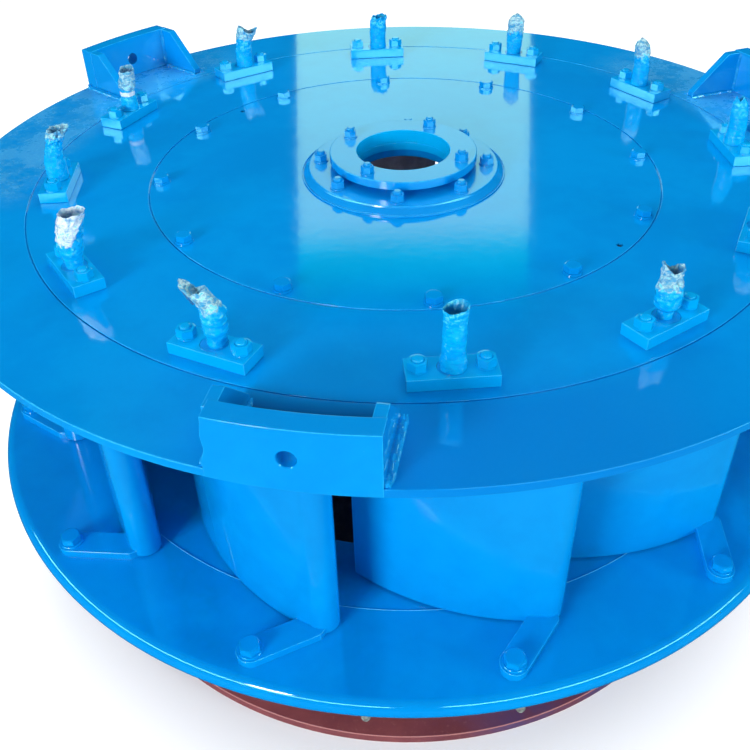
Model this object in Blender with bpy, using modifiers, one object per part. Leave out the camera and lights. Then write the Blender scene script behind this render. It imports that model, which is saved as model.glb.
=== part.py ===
"""Guide-vane distributor of a vertical Kaplan turbine, standing on its discharge ring.

Metres, +Z up. The origin is on the turbine axis at the underside of the discharge ring.
Angles in degrees are turned anticlockwise about the turbine axis, seen from above.
"""

from math import asin, cos, pi, radians, sin

import bmesh
import bpy
from mathutils import Matrix, Vector

# Heights above the ground
LOWER_FLANGE_TOP = 0.028
BOTTOM_RING_UNDERSIDE = 0.437
BOTTOM_RING_TOP = 0.492
COVER_UNDERSIDE = 1.090
COVER_TOP = 1.150
STEM_TOP = 1.285
STUB_TOP = 1.318

# Radii of the rings
COVER_RADIUS = 1.200
COVER_THICK_RADIUS = 1.130
COVER_SEAM_RADIUS = 0.977
HEAD_BODY_RADIUS = 0.9555
INNER_SEAM_RADIUS = 0.6725
HEAD_EYE_RADIUS = 0.610
BOTTOM_RING_RADIUS = 1.195
BOTTOM_RING_STEP_RADIUS = 0.942
THROAT_RADIUS = 0.745
SHELL_RADIUS = 0.790
LOWER_FLANGE_RADIUS = 0.990
UPPER_FLANGE_RADIUS = 0.930

# Thicknesses and gaps
COVER_PLATE = 0.020
BOTTOM_RING_STEP = 0.002
UPPER_FLANGE = 0.025
HEAD_SEAM_GAP = 0.0030
INNER_SEAM_GAP = 0.0015
CONTACT_GAP = 0.0003

# Shaft hub: a foot, a base ring that widens downward, a neck and a flange, each a radius and
# a height
COVER_BORE_RADIUS = 0.126
HUB_BORE_RADIUS = 0.124
HUB_FOOT = (0.271, 0.004)
HUB_BASE = (0.251, 0.0165)
HUB_BASE_LOWER_RADIUS = 0.266
HUB_NECK = (0.158, 0.0145)
HUB_FLANGE = (0.195, 0.022)

# Guide vanes and what belongs to each of them
VANE_COUNT = 12
FIRST_STEM_AZIMUTH = -86.5
STEM_CIRCLE_RADIUS = 0.907
VANE_REST_OPENING = 18.8
VANE_CLEARANCE = 0.005
STEM_RADIUS = 0.0285
TRUNNION_RADIUS = 0.0300
STUB_RADIUS = 0.016
STEM_CLEARANCE = 0.0004
TRUNNION_LIFT = 0.003
NOTCH_START = 0.170
NOTCH_HEIGHT = 0.024
STEM_PLATE = (0.072, 0.180, 0.028)
PLATE_BEVEL = 0.002

# Vane section: outward from the chord, and along it to the nose
VANE_OUTER_MIDDLE = (0.0395, 0.017)
VANE_INNER_MIDDLE = (-0.049, 0.000)
VANE_NOSE = ((0.018, 0.236), (-0.022, 0.276), (-0.062, 0.236))
VANE_TAIL = ((-0.031, -0.213), (-0.024, -0.220), (-0.017, -0.213))

# Stop bar of one vane: places are outward from the stem and anticlockwise of it
STOP_BOLT_PLACE = (0.206, 0.129)
STOP_BAR_DIRECTION = (-0.780, 0.625)
STOP_BAR_LENGTH = 0.185
STOP_BAR_WIDTH = 0.066
STOP_BAR_THICKNESS = 0.022
STOP_WASHER = (0.028, 0.005)
STOP_HEAD = (0.0265, 0.019)

# Lifting lugs
LUG_AZIMUTHS = (-101.5, 18.5, 138.5)
LUG_HALF_LENGTH = 0.1605
LUG_HEIGHT = 0.120
LUG_PLATE = 0.045
LUG_GUSSET = 0.024
LUG_GUSSET_OFFSET = 0.1465
LUG_GUSSET_DROP = 0.002
LUG_SHOULDER = 0.049
LUG_TOE_RADIUS = 1.000
LUG_TOE_HEIGHT = 0.014
LUG_HOLE_RADIUS = 0.018
LUG_HOLE_HEIGHT = 0.054

# Facets
RING_STEPS = 60
HUB_STEPS = 40
RIM_STEPS = 6
STEM_SIDES = 16
BORE_SIDES = 16
STUB_SIDES = 12
WASHER_SIDES = 18
LUG_STEPS = 6
LUG_HOLE_SIDES = 20

# How far a cutter runs past the face it cuts, and a joined body into its neighbour
OVERRUN = 0.010


def clear_scene():
    """Remove the objects of the open file."""
    for obj in list(bpy.data.objects):
        bpy.data.objects.remove(obj, do_unlink=True)


def new_collection(name):
    """Return a new collection linked to the scene."""
    collection = bpy.data.collections.new(name)
    bpy.context.scene.collection.children.link(collection)
    return collection


def paint(name, colour, roughness, metallic=0.0):
    """Return a Principled material."""
    material = bpy.data.materials.new(name)
    material.use_nodes = True
    shader = material.node_tree.nodes["Principled BSDF"]
    shader.inputs["Base Color"].default_value = (*colour, 1.0)
    shader.inputs["Roughness"].default_value = roughness
    shader.inputs["Metallic"].default_value = metallic
    return material


def link(obj, collection, material=None):
    """Put an object in a collection and give it its material."""
    collection.objects.link(obj)
    if material:
        obj.data.materials.clear()
        obj.data.materials.append(material)
    return obj


def guide(obj, guides):
    """Link a cutter or another construction body, left out of the model."""
    link(obj, guides)
    obj.hide_render = True
    obj.display_type = "WIRE"
    return obj


def smooth(mesh, angle=35.0):
    """Shade round faces smooth and keep the arrises sharp."""
    mesh.shade_smooth()
    mesh.set_sharp_from_angle(angle=radians(angle))


def turned(name, profile, steps):
    """Return a ring turned about the axis from a closed section of (radius, height)."""
    mesh = bpy.data.meshes.new(name)
    points = [(radius, 0.0, height) for radius, height in profile]
    count = len(points)
    mesh.from_pydata(points, [(i, (i + 1) % count) for i in range(count)], [])
    obj = bpy.data.objects.new(name, mesh)
    screw = obj.modifiers.new("turn", "SCREW")
    screw.axis = "Z"
    screw.steps = steps
    screw.render_steps = steps
    screw.use_merge_vertices = True
    screw.merge_threshold = 0.00001
    screw.use_smooth_shade = False
    return obj


def cylinder(name, radius, bottom, top, sides, place=(0.0, 0.0), matrix=None):
    """Return an upright cylinder, or one laid by a matrix."""
    mesh = bpy.data.meshes.new(name)
    work = bmesh.new()
    bmesh.ops.create_cone(work, cap_ends=True, segments=sides, radius1=radius, radius2=radius,
                          depth=top - bottom)
    shift = Matrix.Translation((place[0], place[1], (top + bottom) / 2))
    bmesh.ops.transform(work, matrix=matrix @ shift if matrix else shift, verts=work.verts)
    work.to_mesh(mesh)
    work.free()
    return bpy.data.objects.new(name, mesh)


def block(name, size, centre):
    """Return a box with its size and centre."""
    mesh = bpy.data.meshes.new(name)
    work = bmesh.new()
    bmesh.ops.create_cube(work, size=1.0)
    scale = Matrix.Diagonal((*size, 1.0))
    bmesh.ops.transform(work, matrix=Matrix.Translation(centre) @ scale, verts=work.verts)
    work.to_mesh(mesh)
    work.free()
    return bpy.data.objects.new(name, mesh)


def plate(name, outline, bottom, top):
    """Return a flat plate cut to an outline, from a filled curve welded into a mesh."""
    curve = bpy.data.curves.new(name, "CURVE")
    curve.dimensions = "2D"
    curve.fill_mode = "BOTH"
    curve.extrude = (top - bottom) / 2
    spline = curve.splines.new("POLY")
    spline.points.add(len(outline) - 1)
    for point, (x, y) in zip(spline.points, outline):
        point.co = (x, y, 0.0, 1.0)
    spline.use_cyclic_u = True
    flat = bpy.data.objects.new(name + "_curve", curve)
    bpy.context.scene.collection.objects.link(flat)
    flat.location.z = (top + bottom) / 2
    solid = meshed(flat, name)
    work = bmesh.new()
    work.from_mesh(solid.data)
    bmesh.ops.remove_doubles(work, verts=work.verts, dist=0.00001)
    bmesh.ops.recalc_face_normals(work, faces=work.faces)
    bmesh.ops.transform(work, matrix=solid.matrix_world, verts=work.verts)
    work.to_mesh(solid.data)
    work.free()
    solid.matrix_world = Matrix.Identity(4)
    return solid


def meshed(obj, name):
    """Return a new object with the evaluated mesh of this one, which is removed."""
    bpy.context.view_layer.update()
    evaluated = obj.evaluated_get(bpy.context.evaluated_depsgraph_get())
    mesh = bpy.data.meshes.new_from_object(evaluated)
    mesh.name = name
    solid = bpy.data.objects.new(name, mesh)
    solid.matrix_world = obj.matrix_world.copy()
    bpy.data.objects.remove(obj, do_unlink=True)
    return solid


def combine(obj, tool, operation):
    """Add a Boolean with the exact solver."""
    boolean = obj.modifiers.new(operation.lower(), "BOOLEAN")
    boolean.operation = operation
    boolean.solver = "EXACT"
    boolean.object = tool


def arc(start, middle, end, count):
    """Return points on the circle through three points, without the last one."""
    a, b, c = (Vector(point) for point in (start, middle, end))
    d = 2 * (a.x * (b.y - c.y) + b.x * (c.y - a.y) + c.x * (a.y - b.y))
    ux = (a.length_squared * (b.y - c.y) + b.length_squared * (c.y - a.y)
          + c.length_squared * (a.y - b.y)) / d
    uy = (a.length_squared * (c.x - b.x) + b.length_squared * (a.x - c.x)
          + c.length_squared * (b.x - a.x)) / d
    centre = Vector((ux, uy))
    from_angle = Vector((1.0, 0.0)).angle_signed(a - centre)
    sweep_middle = (a - centre).angle_signed(b - centre) % (2 * pi)
    sweep = (a - centre).angle_signed(c - centre) % (2 * pi)
    if sweep_middle > sweep:
        sweep -= 2 * pi
    radius = (a - centre).length
    points = []
    for i in range(count):
        angle = -(from_angle + sweep * i / count)
        points.append((centre.x + radius * cos(angle), centre.y + radius * sin(angle)))
    return points


def bore_radius(radius):
    """Return the radius of a faceted bore whose flats clear a shaft of this radius."""
    return (radius + STEM_CLEARANCE) / cos(pi / BORE_SIDES)


def stem_azimuth(index):
    """Return the azimuth of one guide vane's stem."""
    return FIRST_STEM_AZIMUTH + index * 360.0 / VANE_COUNT


def on_stem(index, turn=0.0):
    """Return the matrix from a stem's own frame, X outward, to the world."""
    azimuth = radians(stem_azimuth(index))
    spot = Matrix.Rotation(azimuth, 4, "Z") @ Matrix.Translation((STEM_CIRCLE_RADIUS, 0.0, 0.0))
    return spot @ Matrix.Rotation(radians(turn), 4, "Z")


def stem_bores(name, radius, bottom, top):
    """Return one cutter with a cylinder at each stem, run past both heights."""
    bottom, top = bottom - OVERRUN, top + OVERRUN
    work = bmesh.new()
    for index in range(VANE_COUNT):
        spot = on_stem(index) @ Matrix.Translation((0.0, 0.0, (bottom + top) / 2))
        bmesh.ops.create_cone(work, cap_ends=True, segments=BORE_SIDES, radius1=radius,
                              radius2=radius, depth=top - bottom, matrix=spot)
    mesh = bpy.data.meshes.new(name)
    work.to_mesh(mesh)
    work.free()
    return bpy.data.objects.new(name, mesh)


def build_discharge_ring(parts, primer):
    """Build the red shell that the distributor stands on, with its two flanges."""
    shell_bottom = LOWER_FLANGE_TOP + CONTACT_GAP
    shell_top = BOTTOM_RING_UNDERSIDE - UPPER_FLANGE - 2 * CONTACT_GAP
    for name, inner, outer, bottom, top in (
        ("discharge_ring_lower_flange", THROAT_RADIUS, LOWER_FLANGE_RADIUS, 0.0, LOWER_FLANGE_TOP),
        ("discharge_ring_shell", THROAT_RADIUS, SHELL_RADIUS, shell_bottom, shell_top),
        ("discharge_ring_upper_flange", THROAT_RADIUS, UPPER_FLANGE_RADIUS,
         shell_top + CONTACT_GAP, BOTTOM_RING_UNDERSIDE - CONTACT_GAP),
    ):
        section = [(outer, top), (outer, bottom), (inner, bottom), (inner, top)]
        link(turned(name, section, RING_STEPS), parts, primer)


def build_bottom_ring(parts, guides, blue):
    """Build the bottom ring with its round outer edge and the twelve trunnion bores."""
    round_radius = (BOTTOM_RING_TOP - BOTTOM_RING_UNDERSIDE) / 2
    centre = (BOTTOM_RING_RADIUS - round_radius, BOTTOM_RING_UNDERSIDE + round_radius)
    face = BOTTOM_RING_TOP - BOTTOM_RING_STEP
    section = [(BOTTOM_RING_STEP_RADIUS, BOTTOM_RING_TOP)]
    for i in range(RIM_STEPS + 1):
        angle = pi / 2 - pi * i / RIM_STEPS
        section.append((centre[0] + round_radius * cos(angle), centre[1] + round_radius * sin(angle)))
    section += [(THROAT_RADIUS, BOTTOM_RING_UNDERSIDE), (THROAT_RADIUS, face),
                (BOTTOM_RING_STEP_RADIUS, face)]
    ring = link(turned("bottom_ring", section, RING_STEPS), parts, blue)
    bores = stem_bores("trunnion_bores", bore_radius(TRUNNION_RADIUS), BOTTOM_RING_UNDERSIDE,
                       BOTTOM_RING_TOP)
    combine(ring, guide(bores, guides), "DIFFERENCE")


def build_covers(parts, guides, blue):
    """Build the outer ring, the head cover with the stem bores, and the inner cover."""
    plate_bottom = COVER_TOP - COVER_PLATE
    ledge_top = plate_bottom - CONTACT_GAP
    half_gap = HEAD_SEAM_GAP / 2
    ring_inside = HEAD_BODY_RADIUS + half_gap
    seam_out = COVER_SEAM_RADIUS + half_gap
    outer = [(COVER_RADIUS, COVER_TOP), (COVER_RADIUS, plate_bottom),
             (COVER_THICK_RADIUS, plate_bottom), (COVER_THICK_RADIUS, COVER_UNDERSIDE),
             (ring_inside, COVER_UNDERSIDE), (ring_inside, ledge_top), (seam_out, ledge_top),
             (seam_out, COVER_TOP)]
    link(turned("cover_outer_ring", outer, RING_STEPS), parts, blue)

    seam_in = COVER_SEAM_RADIUS - half_gap
    body = HEAD_BODY_RADIUS - half_gap
    eye_out = INNER_SEAM_RADIUS + INNER_SEAM_GAP / 2
    head = [(seam_in, COVER_TOP), (seam_in, plate_bottom), (body, plate_bottom),
            (body, COVER_UNDERSIDE), (HEAD_EYE_RADIUS, COVER_UNDERSIDE),
            (HEAD_EYE_RADIUS, ledge_top), (eye_out, ledge_top), (eye_out, COVER_TOP)]
    cover = link(turned("head_cover", head, RING_STEPS), parts, blue)
    bores = stem_bores("stem_bores", bore_radius(STEM_RADIUS), COVER_UNDERSIDE, COVER_TOP)
    combine(cover, guide(bores, guides), "DIFFERENCE")

    edge = INNER_SEAM_RADIUS - INNER_SEAM_GAP / 2
    inner = [(edge, COVER_TOP), (edge, plate_bottom), (COVER_BORE_RADIUS, plate_bottom),
             (COVER_BORE_RADIUS, COVER_TOP)]
    link(turned("inner_cover", inner, RING_STEPS), parts, blue)


def build_hub(parts, blue):
    """Build the stepped base ring and the flange around the shaft bore."""
    seat = COVER_TOP + CONTACT_GAP
    step = seat + HUB_FOOT[1]
    ring_top = step + HUB_BASE[1]
    base = [(HUB_BASE[0], ring_top), (HUB_BASE_LOWER_RADIUS, step), (HUB_FOOT[0], step),
            (HUB_FOOT[0], seat), (HUB_BORE_RADIUS, seat), (HUB_BORE_RADIUS, ring_top)]
    link(turned("hub_base_ring", base, HUB_STEPS), parts, blue)
    neck_bottom = ring_top + CONTACT_GAP
    collar = neck_bottom + HUB_NECK[1]
    top = collar + HUB_FLANGE[1]
    flange = [(HUB_FLANGE[0], top), (HUB_FLANGE[0], collar), (HUB_NECK[0], collar),
              (HUB_NECK[0], neck_bottom), (HUB_BORE_RADIUS, neck_bottom), (HUB_BORE_RADIUS, top)]
    link(turned("hub_flange", flange, HUB_STEPS), parts, blue)


def one_mesh(obj, name, material):
    """Return the evaluated mesh of an object, painted, for copies that share it."""
    solid = meshed(obj, name)
    mesh = solid.data
    bpy.data.objects.remove(solid)
    mesh.materials.clear()
    mesh.materials.append(material)
    return mesh


def place_on_stems(mesh, name, parts, turn=0.0):
    """Put one copy of a mesh at each stem, with its origin on the stem's axis."""
    for index in range(VANE_COUNT):
        obj = bpy.data.objects.new(f"{name}_{index + 1:02d}", mesh)
        obj.matrix_world = on_stem(index, turn)
        parts.objects.link(obj)


def vane_outline():
    """Return the vane section as a closed outline, anticlockwise."""
    tail_inner, tail_tip, tail_outer = VANE_TAIL
    nose_outer, nose_tip, nose_inner = VANE_NOSE
    outline = arc(tail_outer, VANE_OUTER_MIDDLE, nose_outer, 12)
    outline += arc(nose_outer, nose_tip, nose_inner, 8)
    outline += arc(nose_inner, VANE_INNER_MIDDLE, tail_inner, 6)
    outline += arc(tail_inner, tail_tip, tail_outer, 3)
    return outline


def build_vanes(parts, guides, blue):
    """Build the twelve guide vanes: blade, notch under the nose, trunnion, stem and stub."""
    bottom = BOTTOM_RING_TOP + VANE_CLEARANCE
    top = COVER_UNDERSIDE - VANE_CLEARANCE
    blade = plate("vane_blade", vane_outline(), bottom, top)
    guides.objects.link(blade)
    side = VANE_NOSE[1][1] - NOTCH_START + 2 * OVERRUN
    notch = block("nose_notch", (2 * side, side, NOTCH_HEIGHT * 2),
                  (0.0, NOTCH_START + side / 2, bottom))
    trunnion = cylinder("trunnion", TRUNNION_RADIUS, BOTTOM_RING_UNDERSIDE + TRUNNION_LIFT,
                        bottom + OVERRUN, STEM_SIDES)
    stem = cylinder("stem", STEM_RADIUS, top - OVERRUN, STEM_TOP, STEM_SIDES)
    stub = cylinder("stub", STUB_RADIUS, STEM_TOP - OVERRUN, STUB_TOP, STUB_SIDES)
    combine(blade, guide(notch, guides), "DIFFERENCE")
    for piece in (trunnion, stem, stub):
        combine(blade, guide(piece, guides), "UNION")
    mesh = one_mesh(blade, "guide_vane", blue)
    smooth(mesh)
    place_on_stems(mesh, "guide_vane", parts, -VANE_REST_OPENING)


def build_stem_plates(parts, guides, blue):
    """Build the twelve retaining plates, each bored for its stem."""
    bottom = COVER_TOP + CONTACT_GAP
    top = bottom + STEM_PLATE[2]
    body = block("stem_plate_body", STEM_PLATE, (0.0, 0.0, (bottom + top) / 2))
    guides.objects.link(body)
    bevel = body.modifiers.new("arris", "BEVEL")
    bevel.width = PLATE_BEVEL
    bevel.segments = 1
    bore = cylinder("plate_bore", bore_radius(STEM_RADIUS), bottom - OVERRUN, top + OVERRUN,
                    BORE_SIDES)
    combine(body, guide(bore, guides), "DIFFERENCE")
    place_on_stems(one_mesh(body, "stem_plate", blue), "stem_plate", parts)


def stop_bar_outline():
    """Return the bar seen from above: square under the vane, round at the bolt."""
    along = Vector(STOP_BAR_DIRECTION).normalized()
    across = Vector((-along.y, along.x))
    bolt = Vector(STOP_BOLT_PLACE)
    half = STOP_BAR_WIDTH / 2
    inner = bolt + along * STOP_BAR_LENGTH
    round_end = arc(bolt + across * half, bolt - along * half, bolt - across * half, 8)
    corners = [bolt - across * half, inner - across * half, inner + across * half]
    return round_end + [tuple(corner) for corner in corners]


def build_stop_bars(parts, guides, blue):
    """Build the twelve stop bars, each with its bolt and washer as one solid."""
    seat = BOTTOM_RING_TOP + CONTACT_GAP
    top = seat + STOP_BAR_THICKNESS
    bar = plate("stop_bar_body", stop_bar_outline(), seat, top)
    guides.objects.link(bar)
    washer_radius, washer = STOP_WASHER
    head_radius, head = STOP_HEAD
    collar = cylinder("stop_washer", washer_radius, top - OVERRUN, top + washer, WASHER_SIDES,
                      STOP_BOLT_PLACE)
    bolt = cylinder("stop_bolt_head", head_radius, top, top + washer + head, 6, STOP_BOLT_PLACE)
    combine(bar, guide(collar, guides), "UNION")
    combine(bar, guide(bolt, guides), "UNION")
    place_on_stems(one_mesh(bar, "stop_bar", blue), "stop_bar", parts)


def lug_plate_outline():
    """Return the curved lug plate seen from above, centred on the X axis, its ends parallel."""
    outline = []
    for radius, sign in ((COVER_RADIUS, 1.0), (COVER_RADIUS - LUG_PLATE, -1.0)):
        half = asin(LUG_HALF_LENGTH / radius)
        for i in range(LUG_STEPS + 1):
            angle = sign * half * (2 * i / LUG_STEPS - 1)
            outline.append((radius * cos(angle), radius * sin(angle)))
    return outline


def lug_gusset_outline():
    """Return one gusset from the side: place along the lug's X axis, and height."""
    inside = COVER_RADIUS - LUG_PLATE
    top = LUG_HEIGHT - LUG_GUSSET_DROP
    return [(LUG_TOE_RADIUS, 0.0), (inside + OVERRUN, 0.0), (inside + OVERRUN, top),
            (inside - LUG_SHOULDER, top), (LUG_TOE_RADIUS, LUG_TOE_HEIGHT)]


def build_lugs(parts, guides, blue):
    """Build the three lifting lugs: a bored curved plate with two parallel gussets behind."""
    seat = COVER_TOP + CONTACT_GAP
    body = plate("lug_plate", lug_plate_outline(), seat, seat + LUG_HEIGHT)
    guides.objects.link(body)
    upright = Matrix.Rotation(pi / 2, 4, "X")
    for side in (-1.0, 1.0):
        gusset = plate("lug_gusset", lug_gusset_outline(), -LUG_GUSSET / 2, LUG_GUSSET / 2)
        spot = Matrix.Translation((0.0, side * LUG_GUSSET_OFFSET, seat))
        gusset.data.transform(spot @ upright)
        combine(body, guide(gusset, guides), "UNION")
    outward = Matrix.Translation((0.0, 0.0, seat + LUG_HOLE_HEIGHT)) @ Matrix.Rotation(pi / 2, 4, "Y")
    hole = cylinder("lug_hole", LUG_HOLE_RADIUS, COVER_RADIUS - LUG_PLATE - 2 * OVERRUN,
                    COVER_RADIUS + 2 * OVERRUN, LUG_HOLE_SIDES, matrix=outward)
    combine(body, guide(hole, guides), "DIFFERENCE")
    mesh = one_mesh(body, "lifting_lug", blue)
    for number, azimuth in enumerate(LUG_AZIMUTHS, start=1):
        obj = bpy.data.objects.new(f"lifting_lug_{number}", mesh)
        obj.matrix_world = Matrix.Rotation(radians(azimuth), 4, "Z")
        parts.objects.link(obj)


def main():
    """Build the distributor."""
    clear_scene()
    parts = new_collection("guide_vane_distributor")
    guides = new_collection("cutters")
    blue = paint("blue_enamel", (0.0, 0.262, 0.807), 0.18)
    primer = paint("red_oxide_primer", (0.30, 0.075, 0.075), 0.55)
    build_discharge_ring(parts, primer)
    build_bottom_ring(parts, guides, blue)
    build_covers(parts, guides, blue)
    build_hub(parts, blue)
    build_vanes(parts, guides, blue)
    build_stem_plates(parts, guides, blue)
    build_stop_bars(parts, guides, blue)
    build_lugs(parts, guides, blue)


main()
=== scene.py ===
"""Looks of the guide-vane distributor of a vertical Kaplan turbine.

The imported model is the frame. This file dresses it: rings with rounded arrises, cast vanes,
plates with their studs and nuts, stop bars, lugs with weld beads, film wraps on the stem ends,
blue gloss enamel, red primer, a pale floor and soft studio light. Metres, +Z up, degrees
anticlockwise about the turbine axis seen from above.
"""

import logging
from cmath import phase, rect
from dataclasses import dataclass
from enum import Enum
from math import asin, ceil, cos, pi, radians, sin, tan
from random import Random
from typing import Any, Callable, Iterable, Sequence

import bmesh
import bpy
from mathutils import Matrix, Quaternion, Vector, noise


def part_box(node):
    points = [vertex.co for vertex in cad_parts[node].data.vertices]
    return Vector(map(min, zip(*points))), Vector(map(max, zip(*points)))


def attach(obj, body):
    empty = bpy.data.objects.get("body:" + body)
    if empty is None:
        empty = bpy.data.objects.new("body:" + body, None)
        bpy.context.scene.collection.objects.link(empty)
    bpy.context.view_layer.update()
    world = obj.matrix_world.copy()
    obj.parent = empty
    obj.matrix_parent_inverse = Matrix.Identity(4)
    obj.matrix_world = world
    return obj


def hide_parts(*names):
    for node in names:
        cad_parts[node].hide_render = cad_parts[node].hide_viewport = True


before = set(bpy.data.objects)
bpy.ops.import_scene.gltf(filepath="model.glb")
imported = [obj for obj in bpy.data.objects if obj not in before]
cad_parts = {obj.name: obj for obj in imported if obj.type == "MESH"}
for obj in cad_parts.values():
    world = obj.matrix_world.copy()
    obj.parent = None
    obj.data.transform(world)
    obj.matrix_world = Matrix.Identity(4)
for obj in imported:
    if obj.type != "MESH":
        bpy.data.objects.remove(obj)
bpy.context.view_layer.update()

LOG = logging.getLogger("distributor")
Material = bpy.types.Material
Point = tuple[float, float]
Triple = tuple[float, float, float]
Ring = Callable[[float], Point]
SHARP_ANGLE = radians(40.0)
ARRIS, BARE, HOLLOW_SHADE = "arris", "bare", "hollow_shade"
SEATED, HUNG = 0.0001, 0.0002
ORIGIN = BLACK = (0.0, 0.0, 0.0)
UPRIGHT = Matrix.Identity(4)
UPSIDE_DOWN = Matrix.Rotation(pi, 4, "X")


class Slot(Enum):
    """The record's material slots."""

    CASING = "casing"
    VANE = "vane"
    FITTING = "fitting"
    PRIMER = "primer"


# ---- Shader expressions


class Num:
    """A value socket whose operators add Math nodes."""

    def __init__(self, tree: "Tree", socket: bpy.types.NodeSocket) -> None:
        """Wrap one output socket of a tree."""
        self.tree = tree
        self.socket = socket

    def math(self, operation: str, *values: Any, clamp: bool = False) -> "Num":
        """Add one Math node.

        Args:
            operation: The Math node's operation.
            *values: Its inputs in order, numbers or Num.
            clamp: Whether the result is kept from 0 to 1.

        Returns:
            The node's result.
        """
        links = dict(enumerate(values))
        return self.tree.node("Math", links, operation=operation, use_clamp=clamp)

    def __add__(self, other: Any) -> "Num":
        """Return self + other."""
        return self.math("ADD", self, other)

    def __sub__(self, other: Any) -> "Num":
        """Return self - other."""
        return self.math("SUBTRACT", self, other)

    def __rsub__(self, other: Any) -> "Num":
        """Return other - self."""
        return self.math("SUBTRACT", other, self)

    def __mul__(self, other: Any) -> "Num":
        """Return self * other."""
        return self.math("MULTIPLY", self, other)

    __radd__ = __add__
    __rmul__ = __mul__

    def ramp(self, low: float, high: float) -> "Num":
        """Rise smoothly from 0 at low to 1 at high, or fall where low is the greater.

        Args:
            low: Where the result is 0.
            high: Where the result is 1.

        Returns:
            The eased value.
        """
        if low > high:
            return 1.0 - self.ramp(high, low)
        links = {"Value": self, "From Min": low, "From Max": high}
        return self.tree.node("MapRange", links, interpolation_type="SMOOTHSTEP")


class Tree:
    """A node tree that grows by one generic method."""

    def __init__(self, tree: bpy.types.NodeTree) -> None:
        """Take an empty or default tree and clear it."""
        self.tree = tree
        tree.nodes.clear()

    def node(self, kind: str, links: dict[Any, Any] | None = None, output: str | int = 0,
             **settings: Any) -> Num:
        """Add a node: its settings first, then its socket values and links.

        Args:
            kind: The node's type, without its prefix.
            links: Socket values or Num by the input's name or number.
            output: The output that is returned.
            **settings: Attributes by name; "stops" gives a colour ramp's stops.

        Returns:
            That output.
        """
        made = self.tree.nodes.new(f"ShaderNode{kind}")
        for name, value in settings.items():
            if name == "stops":
                self._set_stops(made.color_ramp, value)
            else:
                setattr(made, name, value)
        for key, value in (links or {}).items():
            if isinstance(value, Num):
                self.tree.links.new(value.socket, made.inputs[key])
            else:
                made.inputs[key].default_value = value
        return Num(self, made.outputs[output] if len(made.outputs) else None)

    @staticmethod
    def _set_stops(ramp: bpy.types.ColorRamp, stops: Sequence[tuple[float, Triple]]) -> None:
        """Set a colour ramp's stops.

        Args:
            ramp: The ramp.
            stops: Place and colour of each stop.
        """
        while len(ramp.elements) < len(stops):
            ramp.elements.new(1.0)
        for element, (place, colour) in zip(ramp.elements, stops):
            element.position = place
            element.color = (*colour, 1.0)

    def place(self) -> Num:
        """Return the object coordinates, which ride with a moving piece."""
        return self.node("TexCoord", output="Object")

    def level(self) -> Num:
        """Return the object coordinates without their height."""
        return self.vector("MULTIPLY", self.place(), (1.0, 1.0, 0.0))

    def radius(self) -> Num:
        """Return the distance from the object's upright axis."""
        return self.vector("LENGTH", self.level(), ORIGIN, "Value")

    def attribute(self, name: str) -> Num:
        """Return a value that the mesh carries."""
        return self.node("Attribute", output="Fac", attribute_name=name)

    def ray(self, kind: str) -> Num:
        """Return 1 for rays of one kind, and 0 for others."""
        return self.node("LightPath", output=f"Is {kind} Ray")

    def noise(self, scale: float, detail: float, roughness: float, at: Num | None = None,
              distortion: float = 0.0) -> Num:
        """Add a noise texture.

        Args:
            scale: Features to the metre.
            detail: Octaves.
            roughness: Strength of the finer octaves.
            at: Coordinates, or None for the object's own.
            distortion: How far the noise bends itself.

        Returns:
            The noise value, about 0.5 in the middle.
        """
        links = {"Vector": at or self.place(), "Scale": scale, "Detail": detail,
                 "Roughness": roughness, "Distortion": distortion}
        return self.node("TexNoise", links, "Fac", noise_dimensions="3D")

    def blend(self, factor: Any, first: Any, second: Any) -> Num:
        """Mix two colours.

        Args:
            factor: Share of the second.
            first: Colour as three numbers, or Num.
            second: Colour as three numbers, or Num.

        Returns:
            The mixed colour.
        """
        low, high = (c if isinstance(c, Num) else (*c, 1.0) for c in (first, second))
        return self.node("Mix", {0: factor, 6: low, 7: high}, 2,
                         data_type="RGBA", blend_type="MIX", clamp_factor=True)

    def vector(self, operation: str, first: Any, second: Any, output: str = "Vector") -> Num:
        """Return the "Vector" or "Value" of a Vector Math node on two vectors."""
        return self.node("VectorMath", {0: first, 1: second}, output, operation=operation)

    def dot(self, first: Any, second: Any) -> Num:
        """Return the dot product of two vectors."""
        return self.vector("DOT_PRODUCT", first, second, "Value")

    def near(self, centre: Sequence[float], full: float, none: float) -> Num:
        """Return 1 within one distance of a point, falling to 0 at another.

        Args:
            centre: The point in the object's coordinates.
            full: Distance up to which the result is 1.
            none: Distance from which it is 0.

        Returns:
            The mask.
        """
        return self.vector("DISTANCE", self.place(), centre, "Value").ramp(none, full)

    def bump(self, height: Num, strength: float, distance: float, under: Num | None = None) -> Num:
        """Add a Bump node.

        Args:
            height: Height from 0 to 1.
            strength: Share of the full effect.
            distance: Height in metres that 1 stands for.
            under: Another bump's normal.

        Returns:
            The bent normal.
        """
        links = {"Height": height, "Strength": strength, "Distance": distance}
        if under is not None:
            links["Normal"] = under
        return self.node("Bump", links)

    def surface(self, links: dict[str, Any]) -> None:
        """End the tree in a Principled shader with these values or Num by socket name."""
        self.finish(self.node("BsdfPrincipled", links))

    def finish(self, shader: Num, output: str = "OutputMaterial") -> None:
        """End the tree in its output node."""
        self.node(output, {"Surface": shader})


# ---- Finishes


class Finish:
    """A material that fills its own node tree."""

    name: str

    def material(self) -> Material:
        """Build the finish.

        Returns:
            The material.
        """
        material = bpy.data.materials.new(self.name)
        material.use_nodes = True
        self.fill(Tree(material.node_tree))
        return material

    def fill(self, tree: Tree) -> None:
        """Fill the finish's empty tree."""
        raise NotImplementedError


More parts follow.
